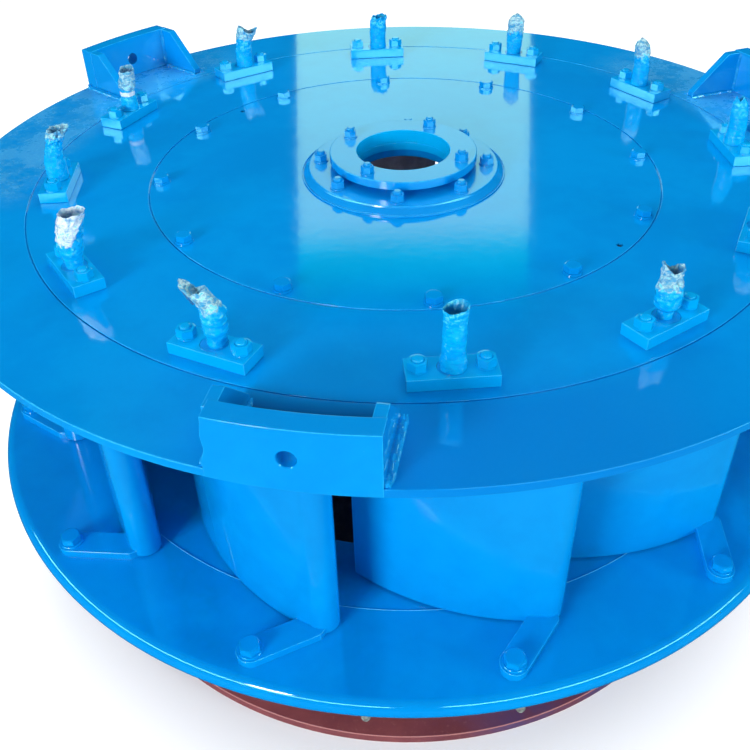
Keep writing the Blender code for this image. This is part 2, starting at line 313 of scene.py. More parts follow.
@dataclass(frozen=True)
class GlossEnamel(Finish):
    """Sprayed gloss enamel with orange peel, dust, arrises lightened by wear and painted highlight
    and, where they are asked for, more marks.

    The lug shadow is the azimuth, half width and two radii of a painted shadow behind a lug; the
    front shade spot and colour paint shade on the outer ring's front. The overspray is a place and
    reach for each patch where the spray fell dry.
    """

    name: str
    colour: Triple = (0.0, 0.305, 0.790)
    deep: Triple = (0.0, 0.270, 0.745)
    edge: Triple = (0.02, 0.450, 0.900)
    dusted: Triple = (0.18, 0.48, 0.86)
    dust: float = 0.25
    roughness: float = 0.06
    coat_roughness: float = 0.03
    peel: float = 0.10
    bore: float = 0.0
    lit_bore_colour: Triple = (0.0, 0.46, 0.95)
    lug_shadow: tuple[float, float, float, float] | None = None
    front_shade_spot: Triple = (0.18, -1.14, 1.15)
    front_shade_colour: Triple = (0.0, 0.195, 0.640)
    dull_inside: Triple | None = None
    overspray: tuple[tuple[float, float, float, float], ...] = ()
    dry_colour: Triple = (0.03, 0.365, 0.80)
    grit_colour: Triple = (0.10, 0.50, 0.86)

    def fill(self, tree: Tree) -> None:
        """Fill the finish's tree.

        Args:
            tree: The empty tree.
        """
        cloud = tree.noise(2.3, 4.0, 0.55)
        patchy = tree.noise(17.0, 5.0, 0.6)
        tone = (cloud * 0.6 + patchy * 0.4).ramp(0.38, 0.62)
        colour = tree.blend(tone, self.deep, self.colour)
        specks = tree.noise(420.0, 2.0, 0.5).ramp(0.70, 0.78) * patchy.ramp(0.45, 0.65)
        dusty = specks * self.dust
        colour = tree.blend(dusty, colour, self.dusted)
        # Lighter arrises: partly wear, partly painted highlight along the edges.
        wear_and_edge_highlight = tree.attribute(ARRIS) * tree.noise(60.0, 4.0, 0.65).ramp(0.30, 0.62)
        colour = tree.blend(wear_and_edge_highlight * 0.75, colour, self.edge)
        if self.lug_shadow:
            colour = self._paint_rim_and_lug_shade(tree, colour, cloud)
        # Painted light: the wall of the bore is made lighter than the rest.
        if self.bore:
            wall = tree.radius().ramp(self.bore + 0.0012, self.bore + 0.0006)
            colour = tree.blend(wall, colour, self.lit_bore_colour)
        # A pale brown-grey patch on the rear vane's inner face.
        if self.dull_inside:
            colour = self._dull_face(tree, colour, patchy)
        rough = patchy * 0.05 + (self.roughness - 0.025) + dusty * 0.3
        normal = tree.bump(tree.noise(34.0, 2.0, 0.5), self.peel, 0.0015)
        normal = tree.bump(tree.noise(300.0, 2.0, 0.5), self.peel, 0.00045, normal)
        if self.overspray:
            dry = self._dry_spray(tree)
            grit = tree.noise(150.0, 5.0, 0.8)
            colour = tree.blend(dry * 0.75, colour, self.dry_colour)
            colour = tree.blend(dry * grit.ramp(0.50, 0.62) * 0.65, colour, self.grit_colour)
            rough = rough + dry * 0.30
            normal = tree.bump(grit * dry, 0.60, 0.0020, normal)
        tree.surface({"Base Color": colour, "Roughness": rough.math("ADD", rough, 0.0, clamp=True),
                      "Normal": normal, "IOR": 1.85, "Coat Weight": 0.6,
                      "Coat Roughness": self.coat_roughness})

    def _paint_rim_and_lug_shade(self, tree: Tree, colour: Num, cloud: Num) -> Num:
        """Paint shade on the outer ring's front and the lug's shadow on the cover behind it.

        Args:
            tree: The material's tree.
            colour: The colour so far.
            cloud: The coat's wide noise.

        Returns:
            The darkened colour.
        """
        # Painted shade: the outer ring's front darkened round one spot.
        thick = tree.near(self.front_shade_spot, 0.10, 0.76) * tree.radius().ramp(0.90, 1.02)
        colour = tree.blend(thick * 0.85, colour, self.front_shade_colour)
        azimuth, half, start, full = self.lug_shadow
        # Painted shadow of the lug on the cover behind it, darkest next to the plate.
        turn = radians(azimuth)
        sideways = tree.dot(tree.level(), (-sin(turn), cos(turn), 0.0))
        this_side = tree.dot(tree.level(), (cos(turn), sin(turn), 0.0)).ramp(0.5, 0.6)
        behind = sideways.math("ABSOLUTE", sideways).ramp(half + 0.012, half) * this_side
        shade = tree.radius().ramp(start, full) * behind * (cloud * 0.4 + 0.75)
        grime_and_shade = tree.blend(shade.ramp(0.80, 1.0), (0.0, 0.055, 0.210), (0.020, 0.022, 0.035))
        return tree.blend(shade, colour, grime_and_shade)

    def _dull_face(self, tree: Tree, colour: Num, patchy: Num) -> Num:
        """Lay a pale brown-grey patch on the inner face of the rear vane, which shows through the
        hub's bore.

        Args:
            tree: The material's tree.
            colour: The colour so far.
            patchy: The coat's fine noise.

        Returns:
            The dusted colour.
        """
        facing = tree.dot(tree.node("TexCoord", output="Normal"), (0.0, -1.0, 0.0))
        inside = tree.near(self.dull_inside, 0.18, 0.28) * facing.ramp(0.1, 0.4)
        pale = tree.blend(patchy.ramp(0.4, 0.6), (0.62, 0.50, 0.47), (0.78, 0.66, 0.62))
        return tree.blend(inside, colour, pale)

    def _dry_spray(self, tree: Tree) -> Num:
        """Return the mask of the places on the outer ring where the spray fell dry.

        Args:
            tree: The material's tree.

        Returns:
            The mask, from 0 to 1.
        """
        spots = [tree.near(spot, reach * 0.50, reach) for *spot, reach in self.overspray]
        mask = spots[0]
        for spot in spots[1:]:
            mask = mask.math("MAXIMUM", mask, spot)
        return mask * tree.radius().ramp(0.90, 1.03) * tree.noise(9.0, 5.0, 0.75).ramp(0.32, 0.58)


@dataclass(frozen=True)
class RedPrimer(Finish):
    """Red oxide primer with dust, darker runs, a mist of blue at the front right and arrises
    lightened as painted highlight.
    """

    name: str = "red_oxide_primer"

    def fill(self, tree: Tree) -> None:
        """Fill the finish's tree.

        Args:
            tree: The empty tree.
        """
        cloud = tree.noise(5.0, 5.0, 0.6)
        fine = tree.noise(70.0, 5.0, 0.65)
        colour = tree.blend(cloud.ramp(0.35, 0.65), (0.200, 0.050, 0.060), (0.290, 0.078, 0.084))
        colour = tree.blend(fine.ramp(0.55, 0.75) * 0.4, colour, (0.42, 0.17, 0.15))
        mist = tree.near((0.52, -0.78, 0.03), 0.22, 0.62) * cloud.ramp(0.30, 0.60)
        colour = tree.blend(mist * 0.80, colour, (0.040, 0.055, 0.190))
        # Painted highlight: the arrises lighter and pinker.
        colour = tree.blend(tree.attribute(ARRIS) * 0.8, colour, (0.52, 0.21, 0.20))
        normal = tree.bump(fine, 0.25, 0.0012)
        tree.surface({"Base Color": colour, "Roughness": fine * 0.25 + 0.26, "Normal": normal})


class FilmLook(Enum):
    """How much of the film under and over the paint shows."""

    CLEAR = "clear"
    GREY = "grey"
    PAINTED = "painted"


@dataclass(frozen=True)
class FilmWrap(Finish):
    """Clear film and tape round a stem end, painted over below and bare where it is marked."""

    look: FilmLook
    shine: float = 0.35

    @property
    def name(self) -> str:
        """Return the material's name."""
        return f"wrapped_film_{self.look.value}"

    def fill(self, tree: Tree) -> None:
        """Fill the finish's tree.

        Args:
            tree: The empty tree.
        """
        marked = tree.attribute(BARE)
        patch = tree.noise(55.0, 3.0, 0.6)
        bare = (marked + (patch - 0.5) * 2.1).ramp(0.40, 0.60)
        crease = tree.noise(78.0, 4.0, 0.68, distortion=1.1)
        wound = tree.vector("MULTIPLY", tree.place(), (0.35, 0.35, 1.0))
        fold = tree.noise(120.0, 3.0, 0.6, at=wound, distortion=0.4)
        mixture = crease * 0.55 + fold * 0.45
        film = tree.node("ValToRGB", {"Fac": mixture}, "Color", stops=self._stops())
        # Painted highlight: bright cyan on the fold crests near where the film comes out of the
        # paint.
        edge = marked.ramp(-1.2, 0.4) * (1.0 - marked.ramp(1.2, 2.2)) * mixture.ramp(0.52, 0.60)
        # The paint over the tape is lighter than the other enamel, as painted light.
        enamel = tree.blend(fold.ramp(0.38, 0.62), (0.0, 0.36, 0.86), (0.0, 0.46, 0.92))
        # Painted highlight: bright cyan glints along the creases in the paint.
        painted_crease_glints = crease.ramp(0.56, 0.62) * (1.0 - crease.ramp(0.64, 0.70)) * patch.ramp(0.46, 0.56)
        enamel = tree.blend(painted_crease_glints * self.shine, enamel, (0.16, 0.80, 0.92))
        colour = tree.blend(bare, enamel, film)
        colour = tree.blend(edge * 0.75, colour, (0.13, 0.76, 0.88))
        colour = tree.blend(marked.ramp(3.0, 3.4) * 0.9, colour, (0.84, 0.93, 0.95))
        # Painted shade inside the wrap's turned-in mouth.
        colour = tree.blend(tree.attribute(HOLLOW_SHADE) * 0.80, colour, (0.0, 0.08, 0.26))
        normal = tree.bump(fold, 0.45, 0.005)
        normal = tree.bump(crease, bare * 0.40 + 0.15, 0.004, normal)
        tree.surface({"Base Color": colour, "Roughness": patch * 0.10 + 0.05, "Normal": normal,
                      "Coat Weight": 0.5, "Coat Roughness": 0.05})

    def _stops(self) -> list[tuple[float, Triple]]:
        """Return the film's colours from its folds to its crests: its tint, with painted shade in
        the folds and painted highlight on the crests.
        """
        if self.look is FilmLook.CLEAR:
            return [(0.36, (0.14, 0.42, 0.66)), (0.43, (0.36, 0.56, 0.76)),
                    (0.49, (0.66, 0.80, 0.88)), (0.56, (0.90, 0.95, 0.97)),
                    (0.66, (0.42, 0.50, 0.72))]
        if self.look is FilmLook.GREY:
            return [(0.36, (0.01, 0.32, 0.70)), (0.43, (0.08, 0.40, 0.68)),
                    (0.50, (0.21, 0.46, 0.62)), (0.57, (0.62, 0.84, 0.87)),
                    (0.63, (0.08, 0.60, 0.82)), (0.70, (0.10, 0.25, 0.42))]
        return [(0.36, (0.0, 0.20, 0.55)), (0.45, (0.0, 0.36, 0.80)), (0.55, (0.01, 0.46, 0.88)),
                (0.64, (0.22, 0.80, 0.92))]


@dataclass(frozen=True)
class BareMetal(Finish):
    """Unpainted metal: near-black in the holes as painted shade, dull zinc on the stud tips."""

    name: str = "painted_shade_recess"
    low: Triple = (0.012, 0.020, 0.035)
    high: Triple = (0.05, 0.045, 0.05)

    def fill(self, tree: Tree) -> None:
        """Fill the finish's tree.

        Args:
            tree: The empty tree.
        """
        grime_and_shade = tree.noise(120.0, 4.0, 0.6)
        colour = tree.blend(grime_and_shade.ramp(0.35, 0.65), self.low, self.high)
        tree.surface({"Base Color": colour, "Roughness": grime_and_shade * 0.3 + 0.5, "Metallic": 0.4})


@dataclass(frozen=True)
class PaleFloor(Finish):
    """Pale studio floor: painted shade inside the ring, brighter round it to the camera, dull in
    gloss.
    """

    name: str = "pale_floor"

    def fill(self, tree: Tree) -> None:
        """Fill the finish's tree.

        Args:
            tree: The empty tree.
        """
        cloud = tree.noise(0.9, 4.0, 0.5)
        colour = tree.blend(cloud, (0.80, 0.81, 0.82), (0.86, 0.86, 0.86))
        # Painted shade: the floor under the throat is made dark, with a little variation.
        grime_and_shade = tree.noise(9.0, 5.0, 0.7)
        dark = tree.blend(grime_and_shade.ramp(0.40, 0.62), (0.045, 0.040, 0.040), (0.110, 0.095, 0.085))
        colour = tree.blend(tree.near(ORIGIN, 0.72, 0.80), colour, dark)
        lifted = tree.ray("Camera") * (1.0 - tree.near(ORIGIN, 0.78, 1.35))
        lift = tree.blend(lifted, BLACK, (0.95, 0.97, 1.0))
        shader = tree.node("BsdfPrincipled", {"Base Color": colour, "Roughness": cloud * 0.1 + 0.65,
                                              "Emission Color": lift, "Emission Strength": 0.52})
        dull = tree.node("BsdfDiffuse", {"Color": (0.02, 0.13, 0.20, 1.0)})
        tree.finish(tree.node("MixShader", {0: tree.ray("Glossy"), 1: shader, 2: dull}))


@dataclass(frozen=True)
class Glow(Finish):
    """Light from a pane, in one colour or in bands that follow each other downward."""

    name: str
    strength: float
    colour: Triple = BLACK
    bands: tuple[tuple[float, float, Triple], ...] = ()

    def fill(self, tree: Tree) -> None:
        """Fill the finish's tree.

        Args:
            tree: The empty tree.
        """
        colour: Any = (*self.colour, 1.0)
        if self.bands:
            height = tree.node("SeparateXYZ", {"Vector": tree.place()}, "Z")
            colour = self.colour
            for start, full, band in self.bands:
                colour = tree.blend(height.ramp(start, full), colour, band)
        tree.finish(tree.node("Emission", {"Color": colour, "Strength": self.strength}))


# ---- Meshes


def fillet(outline: Sequence[tuple[float, ...]], steps: int = 4) -> list[Point]:
    """Round the corners of a closed outline.

    Args:
        outline: Its corners in order: x, y and, where the corner is rounded, the radius.
        steps: Edges to a rounded corner.

    Returns:
        The rounded outline.
    """
    rounded: list[Point] = []
    for i, (x, y, *radius) in enumerate(outline):
        here = Vector((x, y))
        ahead = Vector(outline[(i + 1) % len(outline)][:2]) - here
        back = Vector(outline[i - 1][:2]) - here
        half = back.angle(ahead) / 2
        if not radius or half > 1.5:
            rounded.append(tuple(here))
            continue
        reach = min(radius[0] / tan(half), 0.48 * back.length, 0.48 * ahead.length)
        back.normalize()
        ahead.normalize()
        middle = here + (back + ahead).normalized() * reach / cos(half)
        first, last = here + back * reach - middle, here + ahead * reach - middle
        turn = first.angle(last)
        for part in (turn * k / steps for k in range(steps + 1)):
            spot = middle + (first * sin(turn - part) + last * sin(part)) / sin(turn)
            rounded.append(tuple(spot))
    return rounded


def arc(start: Point, middle: Point, end: Point, count: int) -> list[Point]:
    """Return points on the circle through three points, without the last one.

    Args:
        start: First point.
        middle: A point between.
        end: Last point.
        count: How many points.

    Returns:
        The points.
    """
    a, b, c = (complex(*point) for point in (start, middle, end))
    ratio = (c - a) / (b - a)
    centre = a + (b - a) * (ratio - abs(ratio) ** 2) / (2j * ratio.imag)
    to_middle, sweep = (phase((point - centre) / (a - centre)) % (2 * pi) for point in (b, c))
    if to_middle > sweep:
        sweep -= 2 * pi
    points = [centre + (a - centre) * rect(1.0, sweep * i / count) for i in range(count)]
    return [(point.real, point.imag) for point in points]


def eased(table: Sequence[Point], share: float) -> float:
    """Return a table's value at a share, with a smooth passage between its entries.

    Args:
        table: Shares and values, rising in share.
        share: Where to read it.

    Returns:
        The value.
    """
    for (start, first), (end, second) in zip(table, table[1:]):
        if share <= end:
            part = (share - start) / (end - start)
            return first + (second - first) * part * part * (3 - 2 * part)
    return table[-1][1]


class Shape:
    """A mesh in the making, in world coordinates at rest."""

    def __init__(self) -> None:
        """Start empty."""
        self.work = bmesh.new()
        self.mark = self.work.faces.layers.float.new(ARRIS)

    def turned(self, section: Sequence[Point], steps: int, sweep: Point | None = None,
               edge: float = 0.0012) -> "Shape":
        """Turn a closed section of (radius, height) about Z.

        Args:
            section: The section.
            steps: Segments round the turn.
            sweep: First and last angle in degrees, or None for a whole ring.
            edge: Section edges shorter than this are marked as arris.

        Returns:
            The shape.
        """
        low, high = sweep or (0.0, 360.0)
        rings = []
        for i in range(steps + 1 if sweep else steps):
            angle = radians(low + (high - low) * i / steps)
            rings.append([self.work.verts.new((r * cos(angle), r * sin(angle), z))
                          for r, z in section])
        corners = [Vector(corner) for corner in section]
        for i in range(steps):
            here, ahead = rings[i], rings[(i + 1) % len(rings)]
            for j in range(len(section)):
                k = (j + 1) % len(section)
                face = self.work.faces.new((here[j], here[k], ahead[k], ahead[j]))
                face[self.mark] = float((corners[j] - corners[k]).length < edge)
        if sweep:
            self.work.faces.new(rings[0])
            self.work.faces.new(rings[-1])
        return self

    def bevel(self, edges: Iterable[bmesh.types.BMEdge], size: float) -> list[bmesh.types.BMVert]:
        """Round edges and mark their new faces as arris.

        Args:
            edges: The edges.
            size: How far the rounding reaches.

        Returns:
            The new vertices.
        """
        made = bmesh.ops.bevel(self.work, geom=list(edges), offset=size, segments=3,
                               profile=0.5, affect="EDGES", clamp_overlap=True)
        for face in made["faces"]:
            face[self.mark] = 1.0
        return made["verts"]

    def prism(self, outline: Sequence[Point], bottom: float, top: float, bevel: float = 0.0,
              place: Matrix | None = None) -> "Shape":
        """Raise an outline to a plate with rounded arrises.

        Args:
            outline: The outline.
            bottom: Height of the underside.
            top: Height of the top.
            bevel: Size of the rounded arrises.
            place: Matrix that places the plate.

        Returns:
            The shape.
        """
        rings = [[self.work.verts.new((x, y, z)) for x, y in outline] for z in (bottom, top)]
        faces = [self.work.faces.new(ring) for ring in rings]
        size = len(outline)
        for i in range(size):
            k = (i + 1) % size
            faces.append(self.work.faces.new((rings[0][i], rings[0][k], rings[1][k], rings[1][i])))
        verts = rings[0] + rings[1]
        bmesh.ops.recalc_face_normals(self.work, faces=faces)
        if bevel:
            edges = {e for f in faces for e in f.edges if e.calc_face_angle(0.0) > radians(28.0)}
            made = self.bevel(edges, bevel)
            verts = list({v for f in faces if f.is_valid for v in f.verts} | set(made))
        if place:
            bmesh.ops.transform(self.work, matrix=place, verts=verts)
        return self

    def skin(self, loops: Sequence[Sequence[bmesh.types.BMVert]], mark: float = 0.0) -> "Shape":
        """Join loops of vertices from the first to the last and close both ends.

        Args:
            loops: The loops, each with as many vertices as the others.
            mark: How much of an arris the sides are.

        Returns:
            The shape.
        """
        for low, high in zip(loops, loops[1:]):
            for i in range(len(low)):
                k = (i + 1) % len(low)
                face = self.work.faces.new((low[i], low[k], high[k], high[i]))
                face[self.mark] = mark
        self.work.faces.new(loops[0][::-1])
        self.work.faces.new(loops[-1])
        return self

    def pane(self, *corners: Sequence[float]) -> "Shape":
        """Lay one flat face and return the shape."""
        self.work.faces.new([self.work.verts.new(corner) for corner in corners])
        return self

    def stack(self, rings: Sequence[Ring | Point], place: Matrix, count: int = 36) -> "Shape":
        """Skin rings from the lowest to the highest, closed at both ends.

        Args:
            rings: Each a (radius, height), or a function of the angle that gives it.
            place: Matrix that places the stack.
            count: Points to a ring.

        Returns:
            The shape.
        """
        loops = []
        for ring in rings:
            loop = []
            for i in range(count):
                angle = 2 * pi * i / count
                radius, height = ring(angle) if callable(ring) else ring
                spot = place @ Vector((radius * cos(angle), radius * sin(angle), height))
                loop.append(self.work.verts.new(spot))
            loops.append(loop)
        return self.skin(loops)

    def weld(self, start: Vector, end: Vector, leg: float, chance: Random) -> None:
        """Lay a rippled weld bead along a line.

        Args:
            start: Where the bead starts.
            end: Where it ends.
            leg: Its radius.
            chance: Seeded random numbers.
        """
        run = end - start
        count = max(6, ceil(run.length / 0.0022))
        side = run.normalized().orthogonal().normalized()
        other = run.normalized().cross(side)
        first_ripple = chance.uniform(0.0, 6.0)
        loops = []
        for i in range(count + 1):
            share = i / count
            swell = min(1.0, 6.0 * share + 0.35, 6.0 * (1 - share) + 0.35)
            wave = 0.14 * sin(share * run.length / 0.0042 * 2 * pi + first_ripple)
            radius = leg * swell * (1.0 + wave + chance.uniform(-0.07, 0.07))
            centre = start + run * share
            loops.append([self.work.verts.new(centre + radius * (cos(a) * side + sin(a) * other))
                          for a in (2 * pi * k / 8 for k in range(8))])
        self.skin(loops, 0.5)

    def to_object(self, name: str, sharp: float = SHARP_ANGLE) -> bpy.types.Object:
        """Close the work and return it as a linked object.

        Args:
            name: The object's name.
            sharp: Edges with a greater angle stay sharp.

        Returns:
            The object.
        """
        bmesh.ops.recalc_face_normals(self.work, faces=self.work.faces)
        mesh = bpy.data.meshes.new(name)
        self.work.to_mesh(mesh)
        self.work.free()
        shade(mesh, sharp)
        return link(name, mesh)

    def dressed(self, name: str, finish: Material, slot: "Slot", *nodes: str,
                body: str = "casing") -> bpy.types.Object:
        """Close the work into an object and dress it, as dress() does."""
        return dress(self.to_object(name), finish, slot, *nodes, body=body)


def shade(mesh: bpy.types.Mesh, sharp: float = SHARP_ANGLE) -> None:
    """Shade a mesh smooth, but for edges with a greater angle."""
    mesh.shade_smooth()
    mesh.set_sharp_from_angle(angle=sharp)


def link(name: str, data: bpy.types.ID) -> bpy.types.Object:
    """Return a new object with this data, linked to the scene.

    Args:
        name: The object's name.
        data: Its mesh, camera or light.

    Returns:
        The object.
    """
    obj = bpy.data.objects.new(name, data)
    bpy.context.scene.collection.objects.link(obj)
    return obj


def carve(obj: bpy.types.Object, tool: bpy.types.Object, operation: str = "DIFFERENCE") -> None:
    """Cut or join one body with another, which is then removed.

    Args:
        obj: The body that stays.
        tool: The other body.
        operation: The Boolean's operation.
    """
    boolean = obj.modifiers.new("carve", "BOOLEAN")
    boolean.operation, boolean.solver, boolean.object = operation, "EXACT", tool
    bpy.context.view_layer.update()
    evaluated = obj.evaluated_get(bpy.context.evaluated_depsgraph_get())
    mesh = bpy.data.meshes.new_from_object(evaluated)
    obj.modifiers.clear()
    obj.data = mesh
    bpy.data.objects.remove(tool)
    shade(mesh)


def dress(obj: bpy.types.Object, finish: Material, slot: Slot, *nodes: str,
          body: str = "casing") -> bpy.types.Object:
    """Paint a piece, hang it on its body, hide the CAD nodes it stands for and log it.

    Args:
        obj: The piece.
        finish: Its material.
        slot: The record's material slot; not used.
        *nodes: The CAD nodes it stands for.
        body: The CAD body it moves with.

    Returns:
        The piece.
    """
    obj.data.materials.clear()
    obj.data.materials.append(finish)
    even = obj.modifiers.new("even_shading", "WEIGHTED_NORMAL")
    even.keep_sharp, even.weight = True, 100
    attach(obj, body)
    for node in nodes:
        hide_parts(node)
    LOG.info("%s: %d faces on %s", obj.name, len(obj.data.polygons), body)
    return obj


def heights(node: str) -> tuple[float, ...]:
    """Return the heights of a CAD node's underside and top."""
    return tuple(corner.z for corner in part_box(node))


def at(radius: float, azimuth: float, height: float = 0.0, turn: float = 0.0) -> Matrix:
    """Return the matrix of a place on a circle, X outward.

    Args:
        radius: Distance from the turbine axis.
        azimuth: Its azimuth in degrees.
        height: Its height.
        turn: Further turn about its own upright in degrees.

    Returns:
        The matrix.
    """
    spot = Matrix.Rotation(radians(azimuth), 4, "Z") @ Matrix.Translation((radius, 0.0, height))
    return spot @ Matrix.Rotation(radians(turn), 4, "Z")


@dataclass(frozen=True)
class Fastener:
    """A hexagon bolt head, or a nut with its stud, on a washer."""

    across: float
    height: float
    washer: Point
    stud: Point | None = None
    ease: float = 0.0007
    crown: float = 0.93
    slope: float = -0.45
    groove: float = 0.0016
    stud_end: tuple[Point, ...] = ((0.0, -0.004), (-0.0010, -0.0016), (-0.0040, 0.0))

    def add(self, shape: Shape, place: Matrix) -> None:
        """Add the fastener to a shape.

        Args:
            shape: The shape.
            place: Matrix of its seat, Z up.
        """
        radius, thick = self.washer
        shape.stack([(radius, 0.0), (radius, thick - self.ease), (radius - self.ease, thick)],
                    place, 32)
        apothem = self.across / 2
        round_top = apothem * self.crown

        def side(height: float, slope: float) -> Ring:
            """Return the ring of the hexagon's side, cut back where it is chamfered.

            Args:
                height: Height of the ring on the flats' circle.
                slope: Rise of the chamfer to each metre, 0 for a level ring.

            Returns:
                The ring.
            """
            def ring(angle: float) -> Point:
                """Return radius and height at an angle."""
                reach = apothem / cos((angle + pi / 6) % (pi / 3) - pi / 6)
                return reach, height + slope * (reach - round_top)
            return ring

        top = thick + self.height
        rings: list[Ring | Point] = [side(thick + HUNG, 0.0), side(top, self.slope),
                                     (round_top, top)]
        if self.stud:
            stud, tip = self.stud[0], top + self.stud[1]
            rings += [(stud + self.groove, top), (stud + 0.0002, top - self.groove)]
            rings += [(stud + step, tip + drop) for step, drop in self.stud_end]
        else:
            rings += [(round_top * 0.94, top + 0.0003)]
        shape.stack(rings, place, 36)


# ---- Sub-assemblies


@dataclass
class DischargeRing:
    """The red shell between two flanges that the whole stands on."""

    throat: float = 0.745
    shell_radius: float = 0.790
    lower_radius: float = 0.990
    upper_radius: float = 0.930
    weld: float = 0.012
    arris: float = 0.0025
    steps: int = 192

    def build(self, finish: Material) -> None:
        """Build and dress the three rings, in the heights of their CAD nodes.

        Args:
            finish: The primer.
        """
        for name, outer in (("lower_flange", self.lower_radius), ("shell", self.shell_radius),
                            ("upper_flange", self.upper_radius)):
            node = f"discharge_ring_{name}"
            low, high = heights(node)
            section = [(outer, low), (outer, high), (self.throat, high), (self.throat, low)]
            rounded = fillet([(*corner, self.arris) for corner in section])
            ring = Shape().turned(rounded, self.steps)
            ring.dressed(f"{node}_primed", finish, Slot.PRIMER, node)
            if name == "lower_flange":
                root, middle = self.shell_radius - 0.002, self.weld * 0.45
                bead = [(root, high - 0.001), (self.shell_radius + self.weld, high - 0.001),
                        (self.shell_radius + middle, high + middle), (root, high + self.weld)]
                seam = Shape().turned(bead, self.steps)
                seam.dressed("discharge_ring_weld", finish, Slot.PRIMER)


@dataclass
class BottomRing:
    """The lower guide-vane ring with its round outer edge and the bolt ends under it."""

    radius: float = 1.195
    step_radius: float = 0.942
    step: float = 0.002
    ridge: float = 0.0012
    throat: float = 0.745
    steps: int = 300
    bolt_radius: float = 1.1204
    bolt_offset: float = 6.61
    nut: Fastener = Fastener(0.046, 0.030, (0.032, 0.005), (0.015, 0.020))
    tips: tuple[float, ...] = (-96.3, -79.7)
    tip_radius: float = 1.1725
    tip_depth: float = 0.008
    tip_rings: tuple[Point, ...] = ((0.0112, 0.0), (0.0112, 0.0255), (0.0095, 0.0300),
                                    (0.0050, 0.0320))

    def build(self, finish: Material, ridge: Material, zinc: Material) -> None:
        """Build the ring and the ends of the bolts under it.

        Args:
            finish: The enamel.
            ridge: The brighter enamel of the bead along the step, a painted highlight.
            zinc: The bare metal of the stud tips.
        """
        low, high = heights("bottom_ring")
        half = (high - low) / 2
        section = [(self.radius - half + half * cos(angle), low + half + half * sin(angle))
                   for angle in (pi / 2 - pi * i / 24 for i in range(25))]
        section += fillet([(self.throat, low, 0.002), (self.throat, high - self.step, 0.002),
                           (self.step_radius - self.ridge, high - self.step),
                           (self.step_radius, high, 0.0016)])
        ring = Shape().turned(section, self.steps, edge=0.0011)
        ring.dressed("bottom_ring_painted", finish, Slot.CASING, "bottom_ring")
        # A thin bead along the step in the brighter enamel: a painted highlight on a real bead.
        bead = [(self.step_radius + self.ridge * cos(a), high - 0.0006 + self.ridge * sin(a))
                for a in (2 * pi * k / 8 for k in range(8))]
        line = Shape().turned(bead, self.steps)
        line.dressed("bottom_ring_highlight_ridge", ridge, Slot.CASING)
        ends = Shape()
        for index in range(Stems.count):
            azimuth = Stems.azimuth(index) + self.bolt_offset
            self.nut.add(ends, at(self.bolt_radius, azimuth, low - HUNG) @ UPSIDE_DOWN)
        ends.dressed("stop_bolt_nuts", finish, Slot.FITTING)
        studs = Shape()
        for azimuth in (tip + 120.0 * k for k in range(3) for tip in self.tips):
            spot = at(self.tip_radius, azimuth, low + self.tip_depth) @ UPSIDE_DOWN
            studs.stack(self.tip_rings, spot, 28)
        studs.dressed("rim_stud_tips", zinc, Slot.FITTING)


@dataclass
class Stems:
    """Where the twelve guide-vane stems stand."""

    count: int = 12
    first: float = -86.5
    circle: float = 0.907

    @classmethod
    def azimuth(cls, index: int) -> float:
        """Return one stem's azimuth."""
        return cls.first + index * 360.0 / cls.count

    @classmethod
    def spot(cls, index: int, height: float = 0.0, turn: float = 0.0) -> Matrix:
        """Return the matrix of one stem's own frame, X outward."""
        return at(cls.circle, cls.azimuth(index), height, turn)

    @classmethod
    def names(cls, kind: str) -> list[str]:
        """Return the twelve CAD node names of a kind."""
        return [f"{kind}_{number:02d}" for number in range(1, cls.count + 1)]


